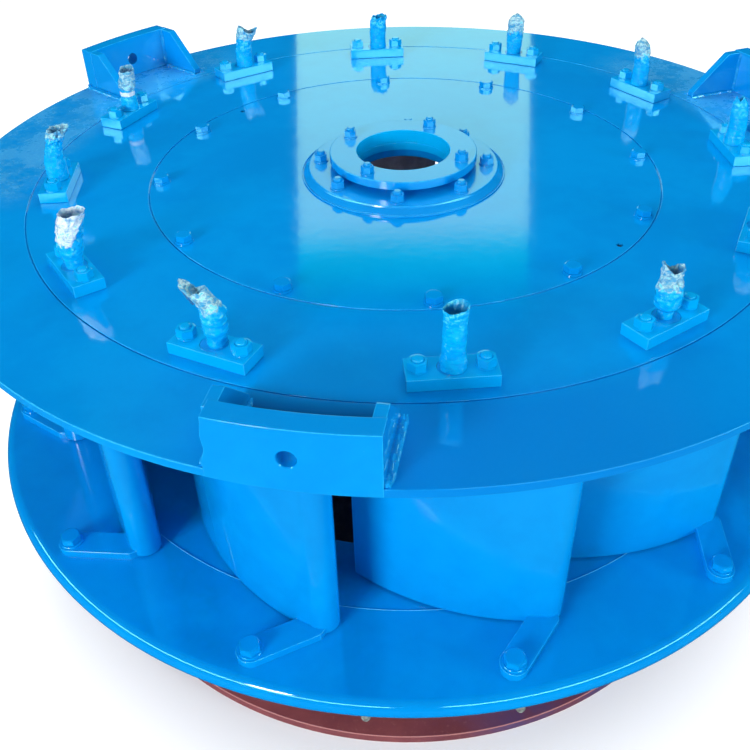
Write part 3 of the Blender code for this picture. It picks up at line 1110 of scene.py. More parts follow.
@dataclass
class TopCover:
    """Outer ring, head cover and inner cover, with the bolts of the inner cover."""

    rim: float = 1.200
    thick_radius: float = 1.130
    head_seam: float = 0.977
    head_body: float = 0.9555
    inner_seam: float = 0.6725
    eye: float = 0.610
    bore: float = 0.126
    plate: float = 0.020
    head_gap: float = 0.0034
    inner_gap: float = 0.0036
    seam_depth: float = 0.0045
    stem_bore: float = 0.0292
    steps: int = 300
    bolt_circle: float = 0.643
    first_bolt: float = 153.5
    bolts: int = 12
    bolt: Fastener = Fastener(0.036, 0.015, (0.0225, 0.004))
    jack_holes: tuple[Point, ...] = ((-0.473, 0.430), (0.486, -0.426))
    jack_bore: tuple[Point, ...] = ((0.008, -0.012), (0.008, 0.01))
    jack_bottom: tuple[Point, ...] = ((0.0074, -0.0118), (0.0074, -0.0055), (0.006, -0.0045))
    rim_bolts: tuple[float, ...] = (-121.9, -1.9, 118.1)
    rim_circle: float = 1.160
    rim_nut: Fastener = Fastener(0.030, 0.016, (0.020, 0.003), (0.010, 0.008))

    def build(self, finish: Material, spray: Material, recess_shade: Material) -> None:
        """Build the three rings and their bolts.

        Args:
            finish: The enamel of the middle.
            spray: The enamel with dry overspray and painted shade, for the outer ring and the head
                cover.
            recess_shade: The near-black finish inside small holes, painted shade.
        """
        low, top = heights("head_cover")[0], heights("inner_cover")[1]
        under = top - self.plate
        ledge, groove = under - 0.0003, top - self.seam_depth
        gap = self.head_gap / 2
        rise, lip, wall = self.head_body + gap, self.head_seam - gap + 0.0002, self.head_seam + gap
        outer = fillet([(self.rim, top, 0.0022), (self.rim, under, 0.0022),
                        (self.thick_radius, under), (self.thick_radius, low, 0.002),
                        (rise, low, 0.001), (rise, ledge), (lip, ledge), (lip, groove),
                        (wall, groove), (wall, top, 0.0014)])
        ring = Shape().turned(outer, self.steps)
        ring.dressed("cover_outer_ring_painted", spray, Slot.CASING, "cover_outer_ring")
        side, rise = self.head_seam - gap, self.head_body - gap
        edge, wall = self.inner_seam - self.inner_gap / 2, self.inner_seam + self.inner_gap / 2
        lip = edge + 0.0002
        head = fillet([(side, top, 0.0012), (side, under), (rise, under), (rise, low, 0.001),
                       (self.eye, low, 0.001), (self.eye, ledge), (lip, ledge), (lip, groove),
                       (wall, groove), (wall, top, 0.0008)])
        cover = Shape().turned(head, self.steps).to_object("head_cover_painted")
        bores = Shape()
        for index in range(Stems.count):
            bores.stack([(self.stem_bore, low - 0.01), (self.stem_bore, top + 0.01)],
                        Stems.spot(index), 32)
        carve(cover, bores.to_object("stem_bores"))
        dress(cover, spray, Slot.CASING, "head_cover")
        inner = fillet([(edge, top, 0.0016), (edge, under, 0.001), (self.bore, under, 0.0005),
                        (self.bore, top, 0.0005)])
        disc = Shape().turned(inner, self.steps).to_object("inner_cover_painted")
        holes, plugs = Shape(), Shape()
        for x, y in self.jack_holes:
            spot = Matrix.Translation((x, y, top))
            holes.stack(self.jack_bore, spot, 24)
            # Near-black plugs low in the jack holes: painted shade at their bottoms.
            plugs.stack(self.jack_bottom, spot, 24)
        carve(disc, holes.to_object("jack_holes"))
        dress(disc, finish, Slot.CASING, "inner_cover")
        plugs.dressed("jack_hole_bottoms", recess_shade, Slot.CASING)
        self._bolts(finish, top, under)

    def _bolts(self, finish: Material, top: float, under: float) -> None:
        """Build the bolts on the inner cover and the nuts under the rim.

        Args:
            finish: The enamel.
            top: Height of the cover's top.
            under: Height of the rim's underside.
        """
        bolts = Shape()
        turns = Random(7)
        for i in range(self.bolts):
            azimuth = self.first_bolt + i * 360.0 / self.bolts
            spot = at(self.bolt_circle, azimuth, top + SEATED, turns.uniform(0.0, 60.0))
            self.bolt.add(bolts, spot)
        bolts.dressed("inner_cover_bolts", finish, Slot.CASING)
        ends = Shape()
        for azimuth in self.rim_bolts:
            self.rim_nut.add(ends, at(self.rim_circle, azimuth, under - HUNG) @ UPSIDE_DOWN)
        ends.dressed("rim_nuts", finish, Slot.CASING)


@dataclass
class ShaftHub:
    """Foot, base ring, neck and flange round the shaft bore, with their bolts."""

    bore: float = 0.124
    foot: Point = (0.2710, 0.004)
    base_radius: float = 0.251
    base_lower_radius: float = 0.266
    neck_radius: float = 0.158
    flange_radius: float = 0.195
    collar: float = 0.022
    neck_weld: tuple[Point, ...] = ((-0.001, -0.0008), (0.006, -0.0008), (0.0025, 0.0025),
                                    (-0.001, 0.006))
    steps: int = 160
    flange_bolts: tuple[float, ...] = (148.0, 61.5, -26.0, -125.5)
    flange_circle: float = 0.165
    flange_nut: Fastener = Fastener(0.0290, 0.0165, (0.0180, 0.003), (0.0100, 0.0075))
    base_circle: float = 0.2215
    first_base_bolt: float = -96.0
    base_bolts: int = 8
    base_nut: Fastener = Fastener(0.0320, 0.0172, (0.0198, 0.003), (0.0112, 0.0085))

    def build(self, finish: Material) -> None:
        """Build both rings and the bolts.

        Args:
            finish: The enamel.
        """
        low, high = heights("hub_base_ring")
        foot_radius, foot = self.foot
        ledge, foot = low + foot * 0.3, low + foot
        lower = self.base_lower_radius
        base = fillet([(self.bore, high, 0.001), (self.base_radius, high, 0.002),
                       (self.base_radius + 0.0025, high - 0.005, 0.02), (lower, foot, 0.002),
                       (lower + 0.001, ledge), (foot_radius - 0.0025, ledge),
                       (foot_radius - 0.002, foot, 0.0005), (foot_radius, foot, 0.0008),
                       (foot_radius, low), (self.bore, low)])
        ring = Shape().turned(base, self.steps)
        ring.dressed("hub_base_ring_painted", finish, Slot.CASING, "hub_base_ring")
        low, top = heights("hub_flange")
        neck, collar = self.neck_radius, top - self.collar
        flange = fillet([(self.flange_radius, top, 0.0022), (self.flange_radius, collar, 0.0018),
                         (neck, collar, 0.003), (neck, low), (self.bore, low),
                         (self.bore, top, 0.0015)])
        rim = Shape().turned(flange, self.steps)
        rim.dressed("hub_flange_painted", finish, Slot.CASING, "hub_flange")
        bead = [(neck + out, low + up) for out, up in self.neck_weld]
        Shape().turned(bead, self.steps).dressed("hub_neck_weld", finish, Slot.CASING)
        bolts = Shape()
        turns = Random(11)
        rows = [(self.flange_nut, self.flange_circle, azimuth, top)
                for azimuth in self.flange_bolts]
        rows += [(self.base_nut, self.base_circle,
                  self.first_base_bolt + i * 360.0 / self.base_bolts, high)
                 for i in range(self.base_bolts)]
        for nut, circle, azimuth, seat in rows:
            nut.add(bolts, at(circle, azimuth, seat + SEATED, turns.uniform(0.0, 60.0)))
        bolts.dressed("hub_bolts", finish, Slot.CASING)


@dataclass
class LiftingLug:
    """A bored lug on the rim: a curved plate, two gussets and weld beads."""

    number: int
    azimuth: float
    half_length: float = 0.1605
    rim: float = 1.200
    skin: float = 0.0010
    plate: float = 0.045
    height: float = 0.120
    rim_plate: float = 0.020
    gusset: float = 0.024
    gussets: tuple[float, float] = (-0.1385, 0.1465)
    shoulder: float = 0.049
    toe_radius: float = 1.000
    toe_height: float = 0.014
    hole_radius: float = 0.018
    hole_height: float = 0.054
    hole_ease: float = 0.0018
    arris: float = 0.0016
    rows_outside: tuple[Point, ...] = ((0.0045, 0.0075), (0.0105, 0.0060))
    rows_inside: tuple[Point, ...] = ((0.002, 0.0065),)
    upright_leg: float = 0.0055
    end_waves: tuple[Point, ...] = ((0.0, 0.006), (0.13, 0.006), (0.40, 0.014), (0.60, 0.011),
                                    (1.0, 0.016))

    def __post_init__(self) -> None:
        """Take the seat's height from the CAD, and place the lug's middle with X outward."""
        self.node = f"lifting_lug_{self.number}"
        self.seat = heights(self.node)[0]
        self.middle = at(0.0, self.azimuth, self.seat)

    def build(self, finish: Material) -> None:
        """Build and dress the lug.

        Args:
            finish: The enamel.
        """
        body = self._plate().to_object(f"{self.node}_painted")
        self._add_gussets(body)
        self._bore(body)
        dress(body, finish, Slot.CASING, self.node)
        self._welds(Random(self.number)).dressed(f"{self.node}_welds", finish, Slot.CASING)

    def _plate(self) -> Shape:
        """Build the curved plate between its wavy flame-cut ends.

        Returns:
            The shape.
        """
        shape = Shape()
        levels, across = 14, 14
        inside, outside = self.rim - self.plate, self.rim + self.skin
        grid: dict[tuple[int, int, int], Any] = {}
        for k in range(levels + 1):
            share = k / levels
            half_length = self.half_length - eased(self.end_waves, share)
            for side, radius in enumerate((outside, inside)):
                low, high = asin(half_length / radius), asin(self.half_length / radius)
                height = self.seat + self.height * share
                if k == 0 and side == 0:
                    height = self.seat - self.rim_plate + 0.0012
                for i in range(across + 1):
                    angle = radians(self.azimuth) - low + (low + high) * i / across
                    spot = (radius * cos(angle), radius * sin(angle), height)
                    grid[side, k, i] = shape.work.verts.new(spot)

        def face(*corners: tuple[int, int, int]) -> None:
            """Lay one face on four corners of the grid."""
            shape.work.faces.new([grid[corner] for corner in corners])

        for k in range(levels):
            for i in range(across):
                for side in (0, 1):
                    face((side, k, i), (side, k, i + 1), (side, k + 1, i + 1), (side, k + 1, i))
            for i in (0, across):
                face((0, k, i), (1, k, i), (1, k + 1, i), (0, k + 1, i))
        for k in (0, levels):
            for i in range(across):
                face((0, k, i), (0, k, i + 1), (1, k, i + 1), (1, k, i))
        bmesh.ops.recalc_face_normals(shape.work, faces=shape.work.faces)
        shape.bevel([e for e in shape.work.edges if e.calc_face_angle(0.0) > radians(50.0)],
                    self.arris)
        return shape

    def _add_gussets(self, body: bpy.types.Object) -> None:
        """Join the two gussets to the plate.

        Args:
            body: The plate.
        """
        inside, top = self.rim - self.plate, self.height - 0.002
        outline = fillet([(self.toe_radius, 0.0), (inside + 0.010, 0.0), (inside + 0.010, top),
                          (inside - self.shoulder, top, 0.012),
                          (self.toe_radius, self.toe_height, 0.008)])
        for offset in self.gussets:
            upright = Matrix.Translation((0.0, offset, 0.0)) @ Matrix.Rotation(pi / 2, 4, "X")
            gusset = Shape().prism(outline, -self.gusset / 2, self.gusset / 2, self.arris,
                                   self.middle @ upright)
            carve(body, gusset.to_object("gusset"), "UNION")

    def _bore(self, body: bpy.types.Object) -> None:
        """Bore the lug's hole with its eased outer edge.

        Args:
            body: The plate.
        """
        inside, outside, ease = self.rim - self.plate, self.rim + self.skin, self.hole_ease
        hole = Shape().stack([(self.hole_radius, inside - 0.02), (self.hole_radius, outside - ease),
                              (self.hole_radius + ease, outside),
                              (self.hole_radius + ease, outside + 0.02)],
                             self.middle @ Matrix.Translation((0.0, 0.0, self.hole_height))
                             @ Matrix.Rotation(pi / 2, 4, "Y"), 40)
        carve(body, hole.to_object("hole"))

    def _welds(self, chance: Random) -> Shape:
        """Build the beads at the feet of the gussets and of the plate's ends.

        Args:
            chance: Seeded random numbers.

        Returns:
            The shape.
        """
        shape, middle = Shape(), self.middle
        top = self.height - 0.003
        for sign, offset in zip((-1.0, 1.0), self.gussets):
            for flank in (-1.0, 1.0):
                y = offset + flank * self.gusset / 2
                back = ((self.rim - self.plate) ** 2 - y * y) ** 0.5
                outer = flank == sign
                for lift, leg in self.rows_outside if outer else self.rows_inside:
                    start = middle @ Vector((self.toe_radius - 0.004, y + flank * lift, 0.0))
                    reach = back + (0.040 if outer else 0.0)
                    shape.weld(start, middle @ Vector((reach, y + flank * lift, 0.0)), leg, chance)
                if not outer:
                    shape.weld(middle @ Vector((back, y, 0.0)), middle @ Vector((back, y, top)),
                               self.upright_leg, chance)
            corner = middle @ Vector((self.rim - 0.022, offset + sign * 0.016, 0.001))
            rise = middle.to_3x3() @ Vector((0.002, 0.0, 0.011))
            shape.weld(corner, corner + rise, 0.0075, chance)
        return shape


@dataclass
class GuideVanes:
    """Twelve cast vanes, each with its trunnion and its stem."""

    outer_middle: Point = (0.0395, 0.017)
    inner_middle: Point = (-0.049, 0.0)
    nose: tuple[Point, Point, Point] = ((0.018, 0.236), (-0.022, 0.276), (-0.062, 0.236))
    tail: tuple[Point, Point, Point] = ((-0.031, -0.213), (-0.024, -0.220), (-0.017, -0.213))
    opening: float = 18.8
    clearance: float = 0.005
    notch_start: float = 0.170
    notch_height: float = 0.024
    notch_radius: float = 0.009
    heel_radius: float = 0.026
    beyond: float = 0.30
    stem_radius: float = 0.0285
    trunnion_radius: float = 0.0300
    stem_top: float = 1.1784
    arris: float = 0.0016

    def _outline(self) -> list[Point]:
        """Return the smooth vane section."""
        outline = arc(self.tail[2], self.outer_middle, self.nose[0], 48)
        outline += arc(*self.nose, 20)
        outline += arc(self.nose[2], self.inner_middle, self.tail[0], 28)
        return outline + arc(*self.tail, 6)

    def _blade(self) -> bpy.types.Object:
        """Build the blade with its notch, stem and trunnion, in the stem's own frame.

        Returns:
            The object.
        """
        bottom = heights("bottom_ring")[1] + self.clearance
        top = heights("head_cover")[0] - self.clearance
        blade = Shape().prism(self._outline(), bottom, top, self.arris).to_object("vane_blade")
        step, end = bottom + self.notch_height, self.nose[1][1] - 0.001
        cut = fillet([(self.notch_start, bottom - 0.02),
                      (self.notch_start, step, self.notch_radius), (end, step, self.heel_radius),
                      (end, step + 0.06), (self.beyond, step + 0.06),
                      (self.beyond, bottom - 0.02)], 8)
        corner = Matrix.Rotation(pi / 2, 4, "X") @ Matrix.Rotation(pi / 2, 4, "Y")
        notch = Shape().prism([(z, y) for y, z in cut], -0.12, 0.12, 0.0, corner)
        carve(blade, notch.to_object("nose_notch"))
        shaft = Shape().stack([(self.stem_radius, top - 0.01),
                               (self.stem_radius, self.stem_top - 0.0006),
                               (self.stem_radius - 0.0006, self.stem_top)], UPRIGHT, 48)
        carve(blade, shaft.to_object("stem"), "UNION")
        foot = Shape().stack([(self.trunnion_radius, heights("bottom_ring")[0] + 0.003),
                              (self.trunnion_radius, bottom + 0.01)], UPRIGHT, 48)
        carve(blade, foot.to_object("trunnion"), "UNION")
        return blade

    def build(self, finish: Material) -> None:
        """Build one vane and copy it to every stem.

        Args:
            finish: The enamel.
        """
        blade = self._blade()
        for index, node in enumerate(Stems.names("guide_vane")):
            mesh = blade.data.copy()
            mesh.transform(Stems.spot(index, 0.0, -self.opening))
            shade(mesh)
            dress(link(f"{node}_cast", mesh), finish, Slot.VANE, node, body=f"vane_{index + 1:02d}")
        bpy.data.objects.remove(blade)


@dataclass
class StemPlates:
    """Twelve retaining plates, each with two studs, nuts and washers."""

    width: float = 0.072
    length: float = 0.180
    bore: float = 0.0291
    arris: float = 0.0016
    stud_reach: float = 0.065
    nut: Fastener = Fastener(0.036, 0.0190, (0.0200, 0.0022), (0.0118, 0.0052))

    def build(self, finish: Material) -> None:
        """Build and dress the plates.

        Args:
            finish: The enamel.
        """
        seat, top = heights("stem_plate_01")
        x, y = self.width / 2, self.length / 2
        turns = Random(3)
        nuts = Shape()
        for index, node in enumerate(Stems.names("stem_plate")):
            spot = Stems.spot(index)
            plate = Shape().prism([(-x, -y), (x, -y), (x, y), (-x, y)], seat, top, self.arris, spot)
            body = plate.to_object(f"{node}_painted")
            hole = Shape().stack([(self.bore, seat - 0.01), (self.bore, top + 0.01)], spot, 40)
            carve(body, hole.to_object("bore"))
            dress(body, finish, Slot.FITTING, node)
            for side in (-1.0, 1.0):
                stud = Matrix.Translation((0.0, side * self.stud_reach, 0.0))
                turn = Matrix.Rotation(turns.uniform(0.0, 1.0), 4, "Z")
                self.nut.add(nuts, Stems.spot(index, top + SEATED) @ stud @ turn)
        nuts.dressed("stem_plate_nuts", finish, Slot.FITTING)


@dataclass
class StopBars:
    """Twelve round-ended bars on the bottom ring, each with its stop bolt."""

    bolt: Point = (0.206, 0.129)
    direction: Point = (-0.780, 0.625)
    length: float = 0.185
    width: float = 0.066
    thick: float = 0.022
    arris: float = 0.0016
    cut: float = 0.030
    head: Fastener = Fastener(0.0440, 0.019, (0.028, 0.005))

    def _outline(self) -> list[Point]:
        """Return the bar seen from above: square under the vane, round at the bolt."""
        along = Vector(self.direction).normalized()
        across = Vector((-along.y, along.x))
        bolt = Vector(self.bolt)
        half = across * self.width / 2
        inner = bolt + along * self.length
        tip = bolt - along * self.width / 2
        outline = arc(tuple(bolt + half), tuple(tip), tuple(bolt - half), 20)
        corner = inner - half
        ends = (bolt - half, corner - along * self.cut, corner + across * self.cut * 0.6,
                inner + half)
        return outline + [tuple(point) for point in ends]

    def build(self, finish: Material) -> None:
        """Build and dress the bars.

        Args:
            finish: The enamel.
        """
        seat = heights("stop_bar_01")[0]
        top = seat + self.thick
        turns = Random(5)
        for index, node in enumerate(Stems.names("stop_bar")):
            shape = Shape().prism(self._outline(), seat, top, self.arris, Stems.spot(index))
            spot = Stems.spot(index, top + SEATED) @ Matrix.Translation((*self.bolt, 0.0))
            self.head.add(shape, spot @ Matrix.Rotation(turns.uniform(0.0, 1.0), 4, "Z"))
            shape.dressed(f"{node}_painted", finish, Slot.FITTING, node)


class Tip(Enum):
    """How the film ends above a stem."""

    OPEN = "open"
    DOME = "dome"
    FORK = "fork"
    POINT = "point"


@dataclass(frozen=True)
class WrapForm:
    """The wrap of one stem, in metres and degrees.

    The film is bare from one height up, and in the band if there is one. The girths are shares
    of the wrap's height with their radii; flat presses its upper half flat across one angle.
    """

    tip: Tip
    look: FilmLook
    top: float
    bare_from: float
    girths: tuple[Point, ...]
    flat: float = 0.0
    flat_angle: float = 0.0
    lean: Point = (0.0, 0.0)
    bend_from: float = 0.35
    shift: float = 0.0
    crumple: float = 1.0
    band: Point = (0.0, 0.0)
    painted_side: float | None = None


@dataclass
class StemWraps:
    """Film and tape wound round the twelve stem ends."""

    forms: tuple[WrapForm, ...] = (
        WrapForm(Tip.OPEN, FilmLook.PAINTED, 1.316, 1.306,
                 ((0.0, 0.0268), (0.14, 0.0268), (0.26, 0.0236), (0.80, 0.0232), (1.0, 0.0236)),
                 0.10, 20.0, (0.002, 0.004), shift=0.003, crumple=0.45),
        WrapForm(Tip.FORK, FilmLook.GREY, 1.306, 1.250,
                 ((0.0, 0.0165), (0.13, 0.0175), (0.24, 0.0268), (0.46, 0.0275), (0.64, 0.0225),
                  (0.78, 0.0195), (1.0, 0.0195)), 0.20, 185.0, (-0.002, 0.0), shift=-0.004),
        WrapForm(Tip.DOME, FilmLook.GREY, 1.308, 1.262,
                 ((0.0, 0.0190), (0.18, 0.0200), (0.34, 0.0272), (0.65, 0.0260), (1.0, 0.0230)),
                 crumple=0.9),
        WrapForm(Tip.POINT, FilmLook.PAINTED, 1.308, 1.298,
                 ((0.0, 0.0272), (0.14, 0.0272), (0.20, 0.0252), (0.55, 0.0240), (1.0, 0.0150)),
                 0.3, 10.0, (-0.010, 0.0), shift=-0.005, crumple=0.45),
        WrapForm(Tip.DOME, FilmLook.GREY, 1.317, 1.268,
                 ((0.0, 0.0255), (0.30, 0.0250), (0.60, 0.0235), (1.0, 0.0225)),
                 0.15, 60.0, (-0.011, 0.0), shift=-0.005, crumple=0.8),
        WrapForm(Tip.DOME, FilmLook.GREY, 1.304, 1.250,
                 ((0.0, 0.0232), (0.30, 0.0255), (0.60, 0.0262), (1.0, 0.0225)),
                 lean=(0.004, 0.0), crumple=0.8),
        WrapForm(Tip.OPEN, FilmLook.PAINTED, 1.284, 1.276,
                 ((0.0, 0.0268), (0.30, 0.0262), (0.70, 0.0272), (0.88, 0.0255), (1.0, 0.0215)),
                 lean=(0.005, 0.0), shift=0.005, crumple=2.2),
        WrapForm(Tip.FORK, FilmLook.GREY, 1.306, 1.262,
                 ((0.0, 0.0272), (0.38, 0.0262), (0.58, 0.0235), (0.80, 0.0260), (1.0, 0.0250)),
                 0.25, 190.0, (0.022, 0.0), shift=0.005),
        WrapForm(Tip.OPEN, FilmLook.GREY, 1.303, 1.240,
                 ((0.0, 0.0250), (0.24, 0.0240), (0.34, 0.0200), (0.46, 0.0212), (0.62, 0.0242),
                  (1.0, 0.0228)), 0.1, 90.0, (0.010, 0.0), shift=0.005, crumple=0.9,
                 band=(1.220, 1.233)),
        WrapForm(Tip.OPEN, FilmLook.GREY, 1.316, 1.288,
                 ((0.0, 0.0275), (0.28, 0.0272), (0.50, 0.0232), (0.72, 0.0195), (0.84, 0.0215),
                  (1.0, 0.0245)), 0.15, 20.0, (0.024, 0.004), crumple=1.9),
        WrapForm(Tip.OPEN, FilmLook.CLEAR, 1.316, 1.240,
                 ((0.0, 0.0200), (0.16, 0.0225), (0.30, 0.0282), (0.60, 0.0285), (1.0, 0.0275)),
                 0.12, 0.0, (0.021, 0.0), shift=0.002, crumple=0.9, painted_side=10.0),
        WrapForm(Tip.FORK, FilmLook.GREY, 1.316, 1.266,
                 ((0.0, 0.0195), (0.14, 0.0205), (0.26, 0.0262), (0.52, 0.0268), (0.68, 0.0225),
                  (0.82, 0.0215), (1.0, 0.0225)), 0.30, 165.0, (-0.036, 0.010), 0.56, 0.007, 1.1),
    )
    levels: int = 76
    lining: int = 8
    around: int = 84
    sharp: float = radians(70.0)
    lining_depth: float = 0.026
    unevenness: float = 0.0010
    crease: float = 0.0080
    winding: float = 0.0007
    winding_turn: float = 330.0

    def build(self) -> None:
        """Build and dress the wraps."""
        low = heights("stem_plate_01")[1] + 0.0004
        films = {look: FilmWrap(look).material() for look in FilmLook}
        for index, form in enumerate(self.forms):
            number = f"{index + 1:02d}"
            wrap = self._wrap(index, form, low).to_object(f"stem_wrap_{number}", self.sharp)
            dress(wrap, films[form.look], Slot.VANE, body=f"vane_{number}")

    def _wrap(self, index: int, form: WrapForm, low: float) -> Shape:
        """Build one wrap as a crumpled skin that turns in at its top.

        Args:
            index: Which stem.
            form: Its form.
            low: Height of its lower edge.

        Returns:
            The shape.
        """
        shape = Shape()
        marks = shape.work.verts.layers.float.new(BARE)
        hollow_shades = shape.work.verts.layers.float.new(HOLLOW_SHADE)
        seed = Vector((index * 3.7, index * 1.3, 0.0))
        spot = Stems.spot(index).translation
        loops = []
        for k in range(self.levels + self.lining + 1):
            inward = max(0, k - self.levels) / self.lining
            share = min(k, self.levels) / self.levels
            bend = max(0.0, share - form.bend_from) / (1.0 - form.bend_from)
            centre = Vector((*form.lean, 0.0)) * bend ** 1.5 + Vector((form.shift, 0.0, 0.0))
            loop = []
            for i in range(self.around):
                angle = 2 * pi * i / self.around
                radius, drop = self._profile(form, share, angle)
                height = low + (form.top - low) * share - drop - inward * self.lining_depth
                out = Vector((cos(angle), sin(angle), 0.0))
                probe = Vector((out.x * 0.035, out.y * 0.035, height)) * 30.0 + seed
                above = height - form.bare_from
                loose = min(1.0, max(0.15, (above + 0.045) / 0.05)) * form.crumple
                ridge = abs(noise.noise(probe * 1.5)) + 0.5 * abs(noise.noise(probe * 3.1)) - 0.33
                radius += self.unevenness * noise.fractal(probe * 0.6, 0.9, 2.1, 3)
                radius -= loose * self.crease * ridge
                turn = height * self.winding_turn + 1.6 * out.y + 7.0 * noise.noise(probe * 0.35)
                radius += self.winding * max(0.0, sin(turn)) ** 3
                radius = max(radius - inward * 0.0022, 0.0015) * (1.0 - 0.45 * inward)
                place = spot + centre + out * radius
                vert = shape.work.verts.new((place.x, place.y, height))
                vert[marks] = min(2.6, 0.5 + above / 0.03)
                if form.band[0] < height < form.band[1]:
                    vert[marks] = 4.0
                if form.painted_side is not None:
                    vert[marks] -= 2.6 * max(0.0, cos(angle - radians(form.painted_side)) - 0.25)
                # Marks the turned-in lining for the painted shade in its mouth.
                vert[hollow_shades] = min(1.0, inward * 2.5)
                loop.append(vert)
            loops.append(loop)
        return shape.skin(loops)

    def _profile(self, form: WrapForm, share: float, angle: float) -> Point:
        """Return the wrap's radius and how far its film hangs lower, at one point.

        Args:
            form: The wrap's form.
            share: 0 at the lower edge, 1 at the top.
            angle: Angle round the stem.

        Returns:
            Radius and drop.
        """
        upper = eased(((0.50, 0.0), (1.0, 1.0)), max(0.50, share))
        along = cos(angle - radians(form.flat_angle))
        base = eased(form.girths, share) * (1.0 + form.flat * upper * (1.5 * along * along - 0.9))
        if form.tip is Tip.DOME:
            dome = max(0.0, (share - 0.80) / 0.20)
            return base * max(0.12, 1.0 - dome ** 2.2), 0.0
        if form.tip is Tip.POINT:
            tip = max(0.0, (share - 0.86) / 0.14)
            return base * (1.0 - 0.50 * tip), 0.014 * upper * (1 - along * along)
        if form.tip is Tip.FORK:
            return base, (0.016 * (1 - along * along) + 0.005 * (1 - along)) * upper
        return base, (0.006 * (0.5 - 0.5 * along) + 0.003 * abs(sin(2.5 * angle))) * upper


# ---- Studio


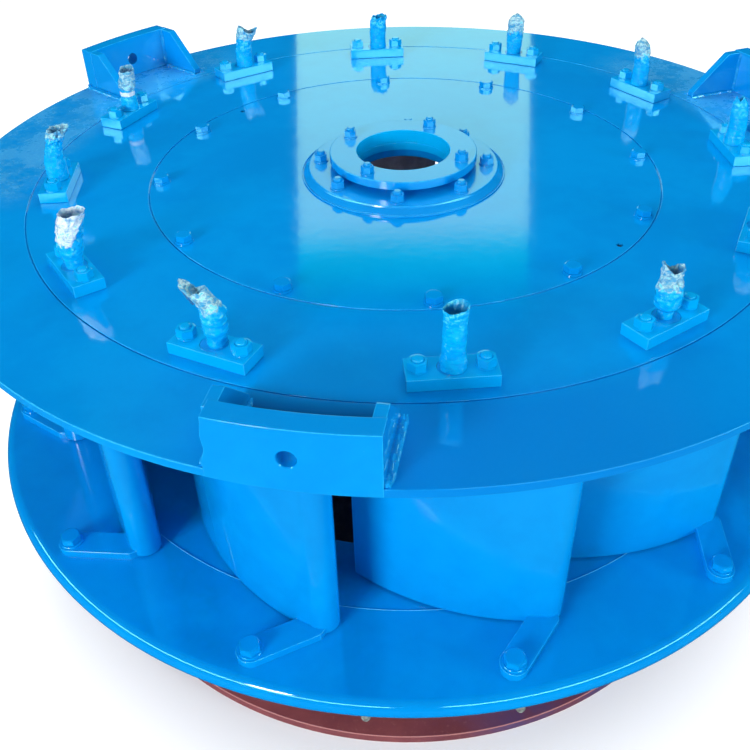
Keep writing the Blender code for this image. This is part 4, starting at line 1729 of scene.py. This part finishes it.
@dataclass
class Studio:
    """Camera, floor, world and soft lights."""

    camera_place: Triple = (-0.0899, -2.2632, 2.2340)
    tilt: float = 38.279
    roll: float = -1.474
    lens: float = 43.71
    floor: float = 30.0
    doorways: tuple[Point, ...] = ((-192.0, -95.0), (-84.0, -10.0))
    doorway_ring: Triple = (8.0, 3.9, 4.7)

    def build(self) -> None:
        """Build the studio."""
        self._camera()
        bpy.context.scene.view_settings.view_transform = "Standard"
        half = self.floor
        outline = [(-half, -half), (half, -half), (half, half), (-half, half)]
        obj = Shape().prism(outline, -0.05, 0.0).to_object("studio_floor")
        obj.data.materials.append(PaleFloor().material())
        self._world()
        self._lamp("overhead", (0.0, 2.8, 5.2), (0.0, 0.6, 1.0), (5.0, 3.4), 162.0)
        self._lamp("front_left", (-5.9, -7.6, 3.7), (0.0, 0.0, 0.9), (3.4, 2.6), 770.0)
        self._lamp("front_right", (8.4, -4.2, 2.5), (0.0, 0.0, 0.8), (3.0, 2.2), 460.0)
        self._doorways()
        self._glint()
        self._window()

    def _camera(self) -> None:
        """Set the camera that was fitted to the photograph's circles."""
        data = bpy.data.cameras.new("photo_camera")
        data.lens = self.lens
        data.sensor_width = 36.0
        data.clip_end = 200.0
        camera = link("photo_camera", data)
        tilt, roll = radians(self.tilt), radians(self.roll)
        ahead = Vector((0.0, cos(tilt), -sin(tilt)))
        up, right = Vector((0.0, sin(tilt), cos(tilt))), Vector((1.0, 0.0, 0.0))
        x = cos(roll) * right + sin(roll) * up
        y = cos(roll) * up - sin(roll) * right
        matrix = Matrix((x, y, -ahead)).transposed().to_4x4()
        camera.matrix_world = Matrix.Translation(self.camera_place) @ matrix
        bpy.context.scene.camera = camera

    def _world(self) -> None:
        """Light the room softly from above and leave its walls dim in reflections."""
        world = bpy.data.worlds.new("studio_room")
        bpy.context.scene.world = world
        world.use_nodes = True
        tree = Tree(world.node_tree)
        direction = tree.node("TexCoord", output="Generated")
        height = tree.node("SeparateXYZ", {"Vector": direction}, "Z")
        soft = height.ramp(0.30, 0.95) * 0.30 + 0.30
        seen, mirrored = tree.ray("Camera"), tree.ray("Glossy")
        strength = seen * 0.86 + (1.0 - seen) * (1.0 - mirrored) * soft + mirrored * 0.06
        tint = tree.blend(mirrored, (0.95, 0.97, 1.0), (0.10, 0.80, 1.0))
        tree.finish(tree.node("Background", {"Color": tint, "Strength": strength}), "OutputWorld")

    def _lamp(self, name: str, place: Triple, target: Triple, size: Point, power: float) -> None:
        """Hang one soft light.

        Args:
            name: Its name.
            place: Where it hangs.
            target: Where it points.
            size: Its width and height.
            power: Its power in watts.
        """
        data = bpy.data.lights.new(name, "AREA")
        data.shape, data.size, data.size_y, data.energy = "RECTANGLE", size[0], size[1], power
        lamp = link(name, data)
        lamp.location = place
        lamp.rotation_mode = "QUATERNION"
        lamp.rotation_quaternion = self._facing(place, target)
        lamp.visible_camera = lamp.visible_glossy = False

    @staticmethod
    def _facing(place: Triple, target: Triple) -> Quaternion:
        """Return the turn that faces a target from a place."""
        return (Vector(target) - Vector(place)).to_track_quat("-Z", "Y")

    def _stand(self, shape: Shape, name: str, glow: Glow, only_gloss: bool = True) -> None:
        """Stand a bright pane that the camera doesn't see.

        Args:
            shape: The pane.
            name: Its name.
            glow: Its light.
            only_gloss: Whether it shows in reflections alone.
        """
        pane = shape.to_object(name)
        pane.data.materials.append(glow.material())
        pane.visible_camera = False
        if only_gloss:
            pane.visible_diffuse = pane.visible_shadow = False

    def _doorways(self) -> None:
        """Stand two bright bands round the front, which the round edges mirror."""
        radius, low, high = self.doorway_ring
        shape = Shape()
        for sweep in self.doorways:
            section = [(radius, low), (radius, high), (radius + 0.01, high), (radius + 0.01, low)]
            shape.turned(section, 24, sweep)
        self._stand(shape, "doorway_light", Glow("doorway_glow", 9.0, (0.28, 1.0, 0.90)))

    def _glint(self) -> None:
        """Stand a small bright pane at the left, for the glints on edges and film."""
        place, half = (-3.6, -5.6, 4.8), 0.55
        turn = self._facing(place, (0.0, 0.0, 0.9)).to_matrix().to_4x4()
        shape = Shape().pane(*(Matrix.Translation(place) @ turn @ Vector((x, y, 0.0)) for x, y in
                               ((-half, -half), (half, -half), (half, half), (-half, half))))
        self._stand(shape, "glint_left", Glow("glint_left_glow", 20.0, (1.0, 1.0, 1.0)))

    def _window(self) -> None:
        """Stand the bright window behind, whose mirror image lies on the cover."""
        shape = Shape().pane((-0.68, 6.0, 2.2), (1.34, 6.0, 2.2),
                             (1.62, 6.0, 5.9), (-0.92, 6.0, 5.9))
        glow = Glow("window_glow", 1.35, bands=((5.80, 4.85, (0.0, 0.66, 0.34)),
                                                (5.00, 4.55, (0.54, 1.0, 0.52))))
        self._stand(shape, "window_light", glow, only_gloss=False)


def main() -> None:
    """Build every sub-assembly in order and report the pieces."""
    logging.basicConfig(level=logging.INFO, format="%(name)s %(message)s")
    gloss = GlossEnamel("blue_enamel").material()
    # This enamel carries the painted shade at the rim's front and behind the front lug.
    sprayed = GlossEnamel("blue_enamel_sprayed", lug_shadow=(-101.5, 0.137, 0.945, 1.036),
                          overspray=((-0.98, 0.62, 1.15, 0.64), (1.02, 0.50, 1.15, 0.50),
                                     (-1.05, 0.10, 1.15, 0.30))).material()
    cast = GlossEnamel("blue_enamel_cast", roughness=0.12, peel=0.2,
                       dull_inside=(0.03, 0.87, 0.76)).material()
    # The hub's enamel paints light on the wall of its bore.
    hub = GlossEnamel("blue_enamel_hub", roughness=0.12, bore=0.124, coat_roughness=0.20).material()
    # A lighter copy of the enamel for the stem plates and their nuts: painted light.
    lit_plates = GlossEnamel("blue_enamel_plates_lit", (0.0, 0.41, 0.88), (0.0, 0.37, 0.84)).material()
    # The brighter enamel of the step's bead is a painted highlight.
    ridge = GlossEnamel("blue_enamel_highlight_ridge", (0.14, 0.62, 0.95), (0.06, 0.50, 0.90)).material()
    recess_shade = BareMetal().material()
    zinc = BareMetal("dull_zinc", (0.20, 0.19, 0.18), (0.44, 0.43, 0.40)).material()
    Studio().build()
    DischargeRing().build(RedPrimer().material())
    BottomRing().build(gloss, ridge, zinc)
    TopCover().build(gloss, sprayed, recess_shade)
    ShaftHub().build(hub)
    for number, azimuth in enumerate((-101.5, 18.5, 138.5), start=1):
        LiftingLug(number, azimuth).build(gloss)
    GuideVanes().build(cast)
    StemPlates().build(lit_plates)
    StopBars().build(gloss)
    StemWraps().build()


if __name__ == "__main__":
    main()
